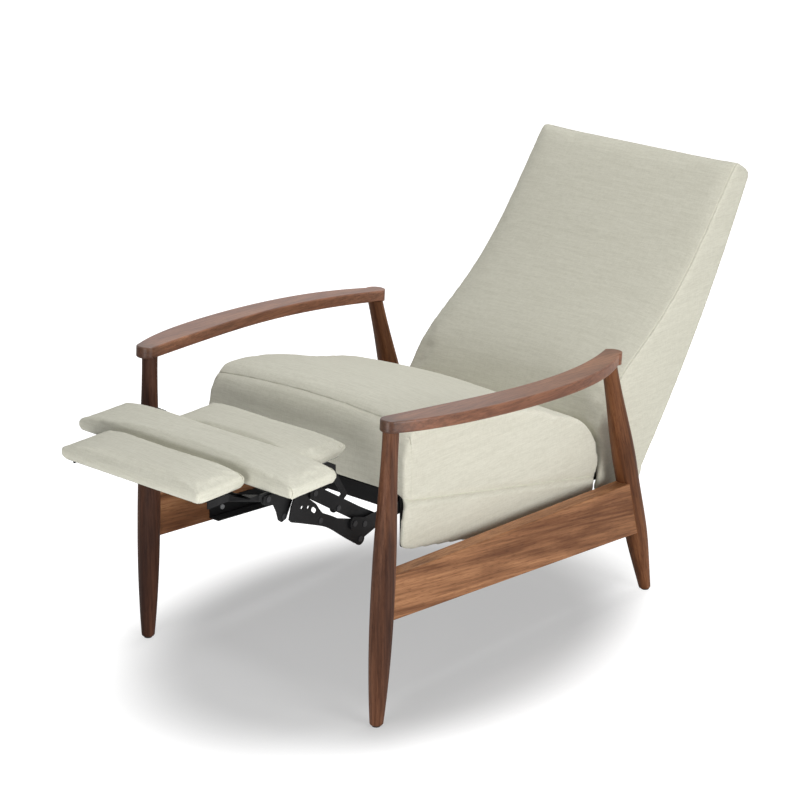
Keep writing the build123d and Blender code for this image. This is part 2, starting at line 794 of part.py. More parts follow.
def seat_outline(crown):
    """Side view of the seat cushion, its crest lowered by a crown."""
    top = crest_height - crown
    start = (seat_front_depth + seat_crest_setback, top)
    roll_foot = (seat_front_depth, top - seat_roll_height)
    seam_setback = seat_crest_setback * front_seam_share[0]
    seam = beside(roll_foot, (seam_setback, seat_roll_height * front_seam_share[1]))
    lean = radians(90 * front_seam_lean_share)
    seam_way = (sin(lean), cos(lean))
    seam_end = beside(seam, (seam_way[0] * seam_width, seam_way[1] * seam_width))
    inward = (seam_way[1] * seam_depth, -seam_way[0] * seam_depth)
    run = tail_start[0] - start[0]
    drop = top - tail_start[1]
    with BuildLine() as outline:
        rise = Line((seat_front_depth, fascia_bottom_height), roll_foot)
        Spline(rise @ 1, seam, tangents=[(0, 1), seam_way])
        Polyline(seam, beside(seam, inward), beside(seam_end, inward), seam_end)
        roll = Spline(seam_end, start, tangents=[seam_way, (1, 0)])
        crest = Spline(
            roll @ 1,
            *[(start[0] + run * share[0], top - drop * share[1]) for share in seat_crest_shares],
            tail_start,
            tangents=[(1, 0), tail_slope],
        )
        tail = ThreePointArc(crest @ 1, tail_middle, tail_end)
        Polyline(
            tail @ 1,
            seat_line(seat_front_depth + fascia_thickness, 0),
            (seat_front_depth + fascia_thickness, fascia_bottom_height),
            rise @ 0,
        )
    return outline.line


with BuildPart() as seat_cushion:
    for x, crown in ((-seat_half_width, seat_crown), (0, 0), (seat_half_width, seat_crown)):
        with BuildSketch(side.offset(x)):
            with BuildLine():
                add(seat_outline(crown))
            make_face()
    loft()
write(seat_cushion, "seat_cushion")

with BuildPart() as seat_side:
    panel_inner_x = seat_half_width - side_panel_thickness
    notch_depth = seat_front_depth + fascia_thickness + fit
    top_drop = fit
    panel_front = seat_front_depth + side_panel_setback
    panel_bottom = deck_height - side_panel_bottom_drop
    panel_gap = (hinge_pin[1] - seat_line(hinge_pin[0], top_drop)[1]) * seat_cos
    panel_top_angle = degrees(atan2(-panel_gap, sqrt(seat_tail_radius**2 - panel_gap**2))) - seat_tilt
    panel_tail = around(hinge_pin, seat_tail_radius, side_panel_tail_angle)
    with BuildSketch(side.offset(panel_inner_x)):
        with BuildLine():
            tail = ThreePointArc(
                around(hinge_pin, seat_tail_radius, panel_top_angle),
                around(hinge_pin, seat_tail_radius, (panel_top_angle + side_panel_tail_angle) / 2),
                panel_tail,
            )
            Polyline(
                tail @ 1,
                (panel_front + side_panel_corner,
                 panel_bottom - side_panel_corner * side_panel_bottom_fall),
                (panel_front - side_panel_lean, deck_height - side_panel_front_drop),
                (panel_front, fascia_bottom_height - fit),
                (notch_depth, fascia_bottom_height - fit),
                seat_line(notch_depth, top_drop),
                tail @ 0,
            )
        make_face()
    extrude(amount=side_panel_thickness)
    fillet(seat_side.edges().filter_by(Axis.X).group_by(Axis.Z)[2], side_panel_edge_round)
    seam_front = seat_line(seat_front_depth, top_drop + side_seam_drop)
    seam_rear = seat_line(back_foot[0], top_drop + side_seam_drop)
    add(
        strip(
            seat_half_width - seam_depth,
            seat_half_width + overrun,
            [
                seam_front,
                seam_rear,
                (seam_rear[0], seam_rear[1] - seam_width),
                (seam_front[0], seam_front[1] - seam_width),
            ],
        ),
        mode=Mode.SUBTRACT,
    )
write_pair(seat_side, "seat_side")

# Beech frame, webbing and dust cover under the cushion
frame_plane = seat_plane.offset(-webbing_thickness - fit)
frame_outer_x = plate_outer_x - link_steel
frame_front = seat_run(frame_front_depth)
frame_rear = seat_run(frame_rear_depth)
frame_inner_x = frame_outer_x - frame_rail_width
webbing_half = frame_inner_x + webbing_reach
screws = []
for share in plate_screw_shares:
    depth = frame_front_depth + (frame_rear_depth - frame_front_depth) * share
    place = seat_line(depth, fit + webbing_thickness + frame_rail_height / 2)
    screws.append(pin(place, plate_outer_x - plate_screw_length, plate_outer_x, plate_screw_diameter))
write(both_sides(screws), "plate_screws")

with BuildPart() as seat_frame:
    add(board(frame_plane, (frame_inner_x, frame_outer_x), (frame_front, frame_rear), -frame_rail_height))
    for part in screws:
        add(part, mode=Mode.SUBTRACT)
    mirror(seat_frame.part, about=Plane.YZ)
    for start in (frame_front, frame_rear - frame_rail_width):
        add(
            board(
                frame_plane,
                (-frame_inner_x + fit, frame_inner_x - fit),
                (start, start + frame_rail_width),
                -frame_rail_height,
            )
        )
write(seat_frame, "seat_frame")

with BuildPart() as seat_webbing:
    clear_run = frame_rear - frame_front - 2 * frame_rail_width
    for place in range(seat_webbing_count):
        start = frame_front + frame_rail_width + clear_run * (place + halfway_share) / seat_webbing_count
        add(
            board(
                frame_plane,
                (-webbing_half, webbing_half),
                (start - webbing_width / 2, start + webbing_width / 2),
                webbing_thickness,
            )
        )
write(seat_webbing, "seat_webbing")

with BuildPart() as dust_cover:
    add(
        board(
            frame_plane.offset(-frame_rail_height),
            (-frame_outer_x + dust_cover_inset, frame_outer_x - dust_cover_inset),
            (frame_front, frame_rear),
            -dust_cover_thickness,
        )
    )
write(dust_cover, "dust_cover")

# Side plates that carry the mechanism, joined by a cross rail
plate_front_depth = seat_front_depth + plate_setback
plate_nose_depth = seat_front_depth + plate_nose_setback
plate_waist = beside(hinge_pin, plate_waist_from_hinge)
plate_tail = beside(hinge_pin, plate_tail_from_hinge)
with BuildPart() as seat_plate:
    with BuildSketch(side.offset(layer(0))):
        with BuildLine():
            Polyline(
                (plate_nose_depth, deck_height - plate_nose_drop),
                plate_waist,
                plate_tail,
                seat_line(plate_tail[0], plate_top_drop),
                seat_line(plate_front_depth, plate_top_drop),
                (plate_front_depth, fascia_bottom_height - fit),
                (plate_nose_depth, fascia_bottom_height - fit),
                close=True,
            )
        plate_face = make_face()
        inside_corner = (plate_front_depth, fascia_bottom_height - fit)
        corners = plate_face.vertices().sort_by_distance(inside_corner)[1:]
        fillet(corners, plate_corner_round)
        for hole in (rear_plate_pin, front_plate_pin, front_seat_pin, rear_seat_pin, hinge_pin):
            with Locations(hole):
                Circle(pin_hole, mode=Mode.SUBTRACT)
    extrude(amount=link_steel)
    for part in screws:
        add(part, mode=Mode.SUBTRACT)
write_pair(seat_plate, "seat_plate")

with BuildPart() as cross_rail:
    cross_rail_depth = hinge_pin[0] + cross_rail_from_hinge
    cross_rail_top_height = hinge_height - cross_rail_drop
    rail_low = cross_rail_top_height - cross_rail_height
    add(
        strip(
            -frame_outer_x,
            frame_outer_x,
            [
                (cross_rail_depth, rail_low),
                (cross_rail_depth + cross_rail_steel, rail_low),
                (cross_rail_depth + cross_rail_steel, cross_rail_top_height - cross_rail_steel),
                (cross_rail_depth + cross_rail_flange, cross_rail_top_height - cross_rail_steel),
                (cross_rail_depth + cross_rail_flange, cross_rail_top_height),
                (cross_rail_depth, cross_rail_top_height),
            ],
        )
    )
write(cross_rail, "seat_cross_rail")

seat_rivets = [
    rivet(rear_plate_pin, 0, 4, outer_head=False, collar=plate_collar_diameter),
    rivet(front_plate_pin, 0, 1, outer_head=False),
    rivet(front_seat_pin, 0, 1, outer_head=False),
    rivet(rear_seat_pin, 0, 0, outer_head=False, inner_head=False),
    rivet(hinge_pin, 0, 1, outer_head=False),
]
write(both_sides(seat_rivets), "seat_rivets")


# Back
chord = (back_head[0] - back_foot[0], back_head[1] - back_foot[1])
chord_length = hypot(*chord)
chord_step = (chord[0] / chord_length, chord[1] / chord_length)


def rear_face(share, inset):
    """Place at a share of the back's chord, inset forward from its bowed rear face."""
    depth = inset - 4 * back_bow * share * (1 - share)
    return (
        back_foot[0] + chord[0] * share - chord_step[1] * depth,
        back_foot[1] + chord[1] * share + chord_step[0] * depth,
    )


def back_place(share, inset):
    """Place at a share of the back's chord, at a distance in front of the chord."""
    return (
        back_foot[0] + chord[0] * share - chord_step[1] * inset,
        back_foot[1] + chord[1] * share + chord_step[0] * inset,
    )


back_radius = seat_tail_radius + back_hinge_clearance


def back_outline(crown):
    """Side view of the whole back, its front face raised by a crown."""
    with BuildLine() as outline:
        hinge_arc = ThreePointArc(
            around(hinge_pin, back_radius, back_lower_angle),
            around(hinge_pin, back_radius, (back_lower_angle + back_upper_angle) / 2),
            around(hinge_pin, back_radius, back_upper_angle),
        )
        front = Spline(
            hinge_arc @ 1,
            *[
                back_place(share[0], back_depth * share[1] + crown * swell)
                for share, swell in zip(back_front_shares, back_crown_shares)
            ],
        )
        top = FilletPolyline(
            front @ 1,
            *[back_place(share[0], back_depth * share[1]) for share in back_top_shares[1:]],
            rear_face(back_top_end_share, 0),
            radius=back_top_round,
        )
        rear = ThreePointArc(
            top @ 1,
            rear_face((back_top_end_share + back_foot_start_share) / 2, 0),
            rear_face(back_foot_start_share, 0),
        )
        Polyline(rear @ 1, back_heel, hinge_arc @ 0)
    return outline.line


def band(shares, near, far, inner_x, outer_x):
    """Strip that follows the back's rear face, between two insets from it."""
    places = (shares[0], (shares[0] + shares[1]) / 2, shares[1])
    with BuildPart() as curved:
        with BuildSketch(side.offset(inner_x)):
            with BuildLine():
                low = ThreePointArc(*[rear_face(share, near) for share in places])
                high = ThreePointArc(*[rear_face(share, far) for share in places])
                Line(low @ 0, high @ 0)
                Line(low @ 1, high @ 1)
            make_face()
        extrude(amount=outer_x - inner_x)
    return curved.part


with BuildPart() as back_side:
    with BuildSketch(side.offset(back_half_width - back_side_thickness)):
        with BuildLine():
            add(back_outline(0))
        make_face()
    extrude(amount=back_side_thickness)
    fillet(back_side.faces().sort_by(Axis.X)[-1].edges(), back_side_round)
write_pair(back_side, "back_side")

pocket_depth = outside_panel_thickness + back_frame_depth + webbing_thickness + 3 * fit
cushion_half = back_half_width - back_side_thickness - fit
with BuildPart() as back_cushion:
    for x, crown in ((-cushion_half, 0), (0, back_crown), (cushion_half, 0)):
        with BuildSketch(side.offset(x)):
            with BuildLine():
                add(back_outline(crown))
            make_face()
    loft()
    add(
        band((-back_foot_start_share, outside_panel_shares[1]), -overrun, pocket_depth,
             -back_half_width, back_half_width),
        mode=Mode.SUBTRACT,
    )
    add(
        strip(
            -back_half_width,
            back_half_width,
            [
                around(hinge_pin, back_radius - overrun, back_lower_angle),
                chamber_top,
                chamber_end,
                (back_foot[0] + overrun, back_foot[1]),
                (back_foot[0], back_foot[1] - overrun),
            ],
        ),
        mode=Mode.SUBTRACT,
    )
write(back_cushion, "back_cushion")

with BuildPart() as outside_back:
    add(band(outside_panel_shares, 0, outside_panel_thickness, -cushion_half, cushion_half))
write(outside_back, "outside_back")

frame_near = outside_panel_thickness + fit
frame_far = frame_near + back_frame_depth
stile_outer_x = layer(1)
stile_inner_x = stile_outer_x - back_stile_width
with BuildPart() as back_frame:
    add(band(back_frame_shares, frame_near, frame_far, stile_inner_x, stile_outer_x))
    mirror(back_frame.part, about=Plane.YZ)
    for shares in back_rail_shares:
        add(band(shares, frame_near, frame_far, -stile_inner_x + fit, stile_inner_x - fit))
write(back_frame, "back_frame")

with BuildPart() as back_webbing:
    half_share = webbing_width / chord_length / 2
    for share in back_webbing_shares:
        add(
            band(
                (share - half_share, share + half_share),
                frame_far,
                frame_far + webbing_thickness,
                -stile_inner_x - webbing_reach,
                stile_inner_x + webbing_reach,
            )
        )
write(back_webbing, "back_webbing")

# Steel brackets from the hinge to the stiles
stile_middle = (frame_near + frame_far) / 2
bracket_foot = rear_face(back_frame_shares[0], stile_middle)
bracket_head = rear_face(back_bracket_share, stile_middle)
with BuildPart() as back_bracket:
    add(
        link(
            1,
            [hinge_pin, back_bracket_bend, bracket_foot, bracket_head],
            back_bracket_width,
            [],
        )
    )
    add(pin(hinge_pin, layer(1), layer(1) + link_steel, back_bracket_eye))
    add(pin(hinge_pin, layer(1), layer(1) + link_steel, 2 * pin_hole), mode=Mode.SUBTRACT)
write_pair(back_bracket, "back_bracket")


# Leg rest
low_knee = knee(rear_plate_pin, front_bracket_pin, swing_link_length, curved_link_length)
lift_pin = knee(front_plate_pin, rear_bracket_pin, carrier_link_length, lift_link_length)
cross_pin = beyond(front_plate_pin, lift_pin, cross_pin_run, cross_pin_rise)
inner_arm_pin = between(lift_pin, rear_bracket_pin, halfway_share)

swing_link = link(4, [rear_plate_pin, low_knee], swing_link_width, [rear_plate_pin, low_knee])
write(both_sides([swing_link, rivet(low_knee, 4, 4)]), "swing_links")

carrier_link = link(
    1, [front_plate_pin, lift_pin, cross_pin], carrier_link_width, [front_plate_pin, lift_pin, cross_pin]
)
write(both_sides([carrier_link]), "carrier_links")
carrier_rivets = [
    rivet(lift_pin, 1, 3, collar=cross_collar_diameter),
    rivet(cross_pin, 1, 2),
]
write(both_sides(carrier_rivets), "carrier_rivets")



def on_line(start, end, share):
    """Place at a share along a line and a share to its right, of its length."""
    length = hypot(end[0] - start[0], end[1] - start[1])
    return beyond(end, start, -length * share[0], -length * share[1])


def blade_line(shares):
    """Places along the line from the low knee to the far pin."""
    return [on_line(low_knee, front_bracket_pin, share) for share in shares]


blade_stud = on_line(low_knee, front_bracket_pin, blade_stud_share)
with BuildPart() as curved_link:
    add(link(2, [low_knee, cross_pin], curved_link_width, []))
    add(pin(low_knee, layer(2), layer(2) + link_steel, curved_link_eye))
    add(pin(front_bracket_pin, layer(2), layer(2) + link_steel, curved_link_width))
    with BuildSketch(side.offset(layer(2))):
        with BuildLine():
            lower = Spline(*blade_line(blade_edge_shares))
            Polyline(
                lower @ 1,
                *blade_line(blade_toe_shares),
                front_bracket_pin,
                *blade_line(blade_top_shares),
                cross_pin,
                low_knee,
                lower @ 0,
            )
        make_face()
    extrude(amount=link_steel)
    for hole in (low_knee, cross_pin, front_bracket_pin, blade_stud):
        add(pin(hole, layer(2), layer(2) + link_steel, 2 * pin_hole), mode=Mode.SUBTRACT)
    with BuildSketch(side.offset(layer(2))):
        for share in blade_hole_shares:
            with Locations(on_line(low_knee, front_bracket_pin, share)):
                Circle(blade_hole_diameter / 2)
        with Locations(on_line(low_knee, front_bracket_pin, blade_slot_share)):
            turn = degrees(atan2(front_bracket_pin[1] - low_knee[1], front_bracket_pin[0] - low_knee[0]))
            SlotOverall(blade_slot_length, blade_slot_width, turn)
    extrude(amount=link_steel, mode=Mode.SUBTRACT)
write(both_sides([curved_link.part]), "curved_links")
curved_rivets = [
    rivet(front_bracket_pin, 2, 4, collar=rivet_head_diameter),
    rivet(low_knee, 2, 2),
    rivet(blade_stud, 2, 2),
]
write(both_sides(curved_rivets), "curved_link_rivets")

lift_bend = beside(front_plate_pin, lift_bend_from_pin)
lift_tail = beside(front_plate_pin, lift_tail_from_pin)
with BuildPart() as lift_link:
    add(link(3, [lift_tail, lift_bend, rear_bracket_pin], lift_link_width, []))
    add(pin(lift_pin, layer(3), layer(3) + link_steel, lift_eye))
    for hole in (lift_pin, inner_arm_pin, rear_bracket_pin):
        add(pin(hole, layer(3), layer(3) + link_steel, 2 * pin_hole), mode=Mode.SUBTRACT)
write(both_sides([lift_link.part]), "lift_links")
lift_rivets = [
    rivet(inner_arm_pin, 3, 5, collar=rivet_head_diameter),
    rivet(rear_bracket_pin, 3, 3, inner_head=False),
]
write(both_sides(lift_rivets), "lift_link_rivets")


# Pads and their brackets
def crowned(plane, half_width, crown, shoulder_round, depth, reach):
    """Long body whose section is crowned on top, used to trim a pad's upper side."""
    with BuildPart() as body:
        with BuildSketch(plane):
            with BuildLine():
                top = ThreePointArc((half_width, -crown), (0, 0), (-half_width, -crown))
                Polyline(top @ 1, (-half_width, -depth), (half_width, -depth), top @ 0)
            section = make_face()
            fillet(section.vertices().group_by(Axis.Y)[-1], shoulder_round)
        extrude(amount=reach, both=True)
    return body.part


def pad(half_width, depths, under, thickness):
    """Padded rest, crowned both ways, on the board whose underside is given."""
    base = under + pad_board + fit
    top = under + thickness
    middle = (depths[0] + depths[1]) / 2
    half_depth = (depths[1] - depths[0]) / 2
    with BuildPart() as cushion:
        with BuildSketch(Plane.XY.offset(base)):
            with Locations((0, front_foot_y + middle)):
                RectangleRounded(2 * half_width, 2 * half_depth, pad_corner_round)
        extrude(amount=top - base + pad_lift)
        crest = (0, front_foot_y + middle, top)
        across = Plane(origin=crest, x_dir=(1, 0, 0), z_dir=(0, -1, 0))
        along = Plane(
            origin=(0, front_foot_y + middle, top + pad_lift), x_dir=(0, 1, 0), z_dir=(1, 0, 0)
        )
        for plane, half_span, reach in ((across, half_width, half_depth), (along, half_depth, half_width)):
            add(
                crowned(plane, half_span, pad_crown, pad_shoulder_round, thickness, 2 * reach),
                mode=Mode.INTERSECT,
            )
    return cushion


def pad_base(half_width, depths, under):
    """Plywood board under a pad."""
    with BuildPart() as panel:
        with BuildSketch(Plane.XY.offset(under)):
            with Locations((0, front_foot_y + (depths[0] + depths[1]) / 2)):
                RectangleRounded(
                    2 * (half_width - pad_board_inset),
                    depths[1] - depths[0] - 2 * pad_board_inset,
                    pad_corner_round,
                )
        extrude(amount=pad_board)
    return panel


for node, half_width, depths, under, thickness in (
    ("inner_pad", inner_pad_half_width, inner_pad_depths, inner_pad_under, inner_pad_thickness),
    ("middle_pad", middle_pad_half_width, middle_pad_depths, middle_pad_under, middle_pad_thickness),
    ("outer_pad", outer_pad_half_width, outer_pad_depths, outer_pad_under, outer_pad_thickness),
):
    write(pad(half_width, depths, under, thickness), node)
    write(pad_base(half_width, depths, under), f"{node}_board")


def flange(number, inner_x, depths, under):
    """Level tongue that turns inwards from a layer and lies under a pad's board."""
    top = under - fit
    return strip(
        inner_x,
        layer(number) + link_steel,
        [
            (depths[0], top - link_steel),
            (depths[1], top - link_steel),
            (depths[1], top),
            (depths[0], top),
        ],
    )


def trim(number, top):
    """Body above a height in a layer, to cut a bracket off level under its pad."""
    far = outer_pad_depths[0] - overrun
    return strip(
        layer(number) - overrun,
        layer(number) + overrun,
        [(far, top), (-far, top), (-far, top + overrun), (far, top + overrun)],
    )


toe_stud = on_line(flip_pin, rear_bracket_pin, toe_stud_share)
with BuildPart() as ottoman_bracket:
    add(
        link(
            4,
            [flip_pin, front_bracket_pin, rear_bracket_pin],
            ottoman_bracket_width,
            [],
        )
    )
    add(
        strip(
            layer(4),
            layer(4) + link_steel,
            [
                flip_pin,
                front_bracket_pin,
                rear_bracket_pin,
                (ottoman_flange_depths[1], middle_pad_under - fit),
                (ottoman_flange_depths[0], middle_pad_under - fit),
            ],
        )
    )
    toe = [on_line(flip_pin, rear_bracket_pin, share) for share in ottoman_toe_shares]
    add(strip(layer(4), layer(4) + link_steel, toe))
    add(trim(4, middle_pad_under - fit), mode=Mode.SUBTRACT)
    for hole in (flip_pin, front_bracket_pin, rear_bracket_pin, toe_stud):
        add(pin(hole, layer(4), layer(4) + link_steel, 2 * pin_hole), mode=Mode.SUBTRACT)
    add(flange(4, layer(4) + link_steel - ottoman_flange_width, ottoman_flange_depths, middle_pad_under))
write_pair(ottoman_bracket, "ottoman_bracket")
bracket_rivets = [
    rivet(flip_pin, 4, 5),
    rivet(rear_bracket_pin, 4, 4, outer_head=False),
    rivet(toe_stud, 4, 4),
]
write(both_sides(bracket_rivets), "bracket_rivets")

outer_top = outer_pad_under - fit
with BuildPart() as outer_arm:
    add(
        strip(
            layer(5),
            layer(5) + link_steel,
            [
                (flip_pin[0], outer_top - outer_arm_height),
                (flip_pin[0], outer_top),
                (outer_arm_end_depth, outer_top),
                (outer_arm_end_depth, outer_top - outer_arm_height),
            ],
        )
    )
    add(pin(flip_pin, layer(5), layer(5) + link_steel, 2 * (outer_top - flip_pin[1])))
    add(pin(flip_pin, layer(5), layer(5) + link_steel, 2 * pin_hole), mode=Mode.SUBTRACT)
    add(flange(5, pad_flange_inner_x, outer_flange_depths, outer_pad_under))
write_pair(outer_arm, "outer_arm")

inner_top = inner_pad_under - fit
upstand_top = inner_top + inner_upstand
upstand_middle = (inner_flange_depths[0] + inner_flange_depths[1]) / 2
strap_top = (inner_flange_depths[1] - inner_arm_width / 2, inner_top)
with BuildPart() as inner_arm:
    add(link(5, [inner_arm_pin, inner_arm_elbow, strap_top], inner_arm_width, []))
    add(
        strip(
            layer(5),
            layer(5) + link_steel,
            [
                (inner_flange_depths[0], inner_top),
                (inner_flange_depths[0], upstand_top),
                (upstand_middle, upstand_top),
                (inner_flange_depths[1], upstand_top - inner_upstand_cut),
                (inner_flange_depths[1], inner_top),
            ],
        )
    )
    add(pin(inner_arm_pin, layer(5), layer(5) + link_steel, inner_arm_eye))
    add(pin(inner_arm_pin, layer(5), layer(5) + link_steel, 2 * pin_hole), mode=Mode.SUBTRACT)
    add(flange(5, pad_flange_inner_x, inner_flange_depths, inner_pad_under))
write_pair(inner_arm, "inner_arm")
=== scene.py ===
import math

import bmesh
import bpy
import numpy as np
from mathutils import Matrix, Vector


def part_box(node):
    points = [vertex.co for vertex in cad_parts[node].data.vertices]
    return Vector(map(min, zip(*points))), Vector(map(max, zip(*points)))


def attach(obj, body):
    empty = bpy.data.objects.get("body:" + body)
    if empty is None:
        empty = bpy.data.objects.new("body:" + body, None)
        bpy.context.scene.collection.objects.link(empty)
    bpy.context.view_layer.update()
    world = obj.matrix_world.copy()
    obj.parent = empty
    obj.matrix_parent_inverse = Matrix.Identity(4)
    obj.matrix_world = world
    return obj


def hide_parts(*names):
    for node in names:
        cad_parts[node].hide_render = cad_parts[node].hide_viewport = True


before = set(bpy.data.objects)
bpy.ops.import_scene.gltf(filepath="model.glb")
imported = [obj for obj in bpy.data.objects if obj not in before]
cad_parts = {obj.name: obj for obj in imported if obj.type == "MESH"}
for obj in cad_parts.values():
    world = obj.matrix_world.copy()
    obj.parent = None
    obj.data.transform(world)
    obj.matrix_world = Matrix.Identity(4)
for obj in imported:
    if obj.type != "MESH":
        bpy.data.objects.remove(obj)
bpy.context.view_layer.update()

# Studio
# A sheet of white paper under a wide overhead lamp, with a large soft lamp on the sitter's
# left and a small one low in front. The paper runs out to plain white round the shadow.
camera_place = (3.40692, -3.98386, 2.34888)
camera_tilt = math.radians(70.03)
camera_turn = math.radians(40.82)
camera_lens = 127.2
camera_film = 36.0
white = (1.0, 1.0, 1.0, 1.0)
room_light = 0.16
paper_size = 30.0
paper_drop = 0.0005
bpy.ops.object.select_all(action="DESELECT")
bpy.ops.object.camera_add(location=camera_place, rotation=(camera_tilt, 0.0, camera_turn))
camera = bpy.context.object
camera.name = "camera"
camera.data.lens = camera_lens
camera.data.sensor_width = camera_film
camera.data.clip_end = 60.0
bpy.context.scene.camera = camera

for name, place, aim, size, power in (
    ("side_lamp", (3.8, -0.45, 1.0), (0.0, 0.0, 0.42), 2.0, 86.0),
    ("front_lamp", (0.5, -1.95, 0.60), (0.0, -0.3, 0.42), 0.8, 9.5),
    ("overhead_lamp", (-0.15, 0.75, 3.6), (0.0, 0.0, 0.3), 1.7, 69.0),
):
    bpy.ops.object.light_add(type="AREA", location=place)
    lamp = bpy.context.object
    lamp.name = name
    lamp.data.shape = "DISK"
    lamp.data.size = size
    lamp.data.energy = power
    lamp.rotation_euler = (Vector(place) - Vector(aim)).to_track_quat("Z", "Y").to_euler()

room = bpy.data.worlds.new("room")
bpy.context.scene.world = room
room.use_nodes = True
nodes, links = room.node_tree.nodes, room.node_tree.links
nodes.clear()
seen = nodes.new("ShaderNodeBackground")
seen.inputs["Color"].default_value = white
seen.inputs["Strength"].default_value = 1.0
felt = nodes.new("ShaderNodeBackground")
felt.inputs["Color"].default_value = white
felt.inputs["Strength"].default_value = room_light
path = nodes.new("ShaderNodeLightPath")
shiny = nodes.new("ShaderNodeMath")
shiny.operation = "MAXIMUM"
links.new(path.outputs["Is Glossy Ray"], shiny.inputs[0])
links.new(path.outputs["Is Transmission Ray"], shiny.inputs[1])
plain = nodes.new("ShaderNodeMath")
plain.operation = "MAXIMUM"
links.new(path.outputs["Is Camera Ray"], plain.inputs[0])
links.new(shiny.outputs["Value"], plain.inputs[1])
mix = nodes.new("ShaderNodeMixShader")
links.new(plain.outputs["Value"], mix.inputs["Fac"])
links.new(felt.outputs["Background"], mix.inputs[1])
links.new(seen.outputs["Background"], mix.inputs[2])
out = nodes.new("ShaderNodeOutputWorld")
links.new(mix.outputs["Shader"], out.inputs["Surface"])

# The camera sees a grey paper that glows: faintly in an oval under the chair, where the shadow
# lies, and white past its rim. For the light that it throws back on the chair, the paper is pale.
oval_middle = (0.04, -0.13, 0.0)
oval_reach = (0.44, 0.58, 1.0)
rim_start = 0.74
rim_end = 1.25
glow_inside = 0.385
glow_outside = 1.05
lighting_paper = (0.90, 0.90, 0.90, 1.0)
seen_paper = (0.36, 0.36, 0.36, 1.0)
bpy.ops.mesh.primitive_plane_add(size=paper_size, location=(0.0, 0.0, -paper_drop))
floor = bpy.context.object
floor.name = "studio_floor"
paper = bpy.data.materials.new("white_paper")
paper.use_nodes = True
nodes, links = paper.node_tree.nodes, paper.node_tree.links
sheet = nodes["Principled BSDF"]
sheet.inputs["Roughness"].default_value = 0.95
sheet.inputs["Specular IOR Level"].default_value = 0.05
where = nodes.new("ShaderNodeTexCoord")
reach = nodes.new("ShaderNodeMapping")
reach.vector_type = "TEXTURE"
reach.inputs["Location"].default_value = oval_middle
reach.inputs["Scale"].default_value = oval_reach
links.new(where.outputs["Object"], reach.inputs["Vector"])
away = nodes.new("ShaderNodeVectorMath")
away.operation = "LENGTH"
links.new(reach.outputs["Vector"], away.inputs[0])
rim = nodes.new("ShaderNodeMapRange")
rim.interpolation_type = "SMOOTHSTEP"
rim.inputs["From Min"].default_value = rim_start
rim.inputs["From Max"].default_value = rim_end
rim.inputs["To Min"].default_value = glow_inside
rim.inputs["To Max"].default_value = glow_outside
links.new(away.outputs["Value"], rim.inputs["Value"])
path = nodes.new("ShaderNodeLightPath")
lift = nodes.new("ShaderNodeMath")
lift.operation = "MULTIPLY"
links.new(path.outputs["Is Camera Ray"], lift.inputs[0])
links.new(rim.outputs["Result"], lift.inputs[1])
glow = nodes.new("ShaderNodeEmission")
glow.inputs["Color"].default_value = white
links.new(lift.outputs["Value"], glow.inputs["Strength"])
tint = nodes.new("ShaderNodeMix")
tint.data_type = "RGBA"
tint.inputs["A"].default_value = lighting_paper
tint.inputs["B"].default_value = seen_paper
links.new(path.outputs["Is Camera Ray"], tint.inputs["Factor"])
links.new(tint.outputs["Result"], sheet.inputs["Base Color"])
both = nodes.new("ShaderNodeAddShader")
links.new(sheet.outputs["BSDF"], both.inputs[0])
links.new(glow.outputs["Emission"], both.inputs[1])
links.new(both.outputs["Shader"], nodes["Material Output"].inputs["Surface"])
floor.data.materials.append(paper)


# Legs
# Turned from solid walnut, thickest near the middle, and doweled into the arms and rails. The
# darkest, straightest wood of the chair. The right front leg, on the far side from the side lamp,
# has a darker copy of it: painted shade.
def dress(name, material):
    """Gives a CAD piece its material."""
    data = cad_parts[name].data
    data.materials.clear()
    data.materials.append(material)


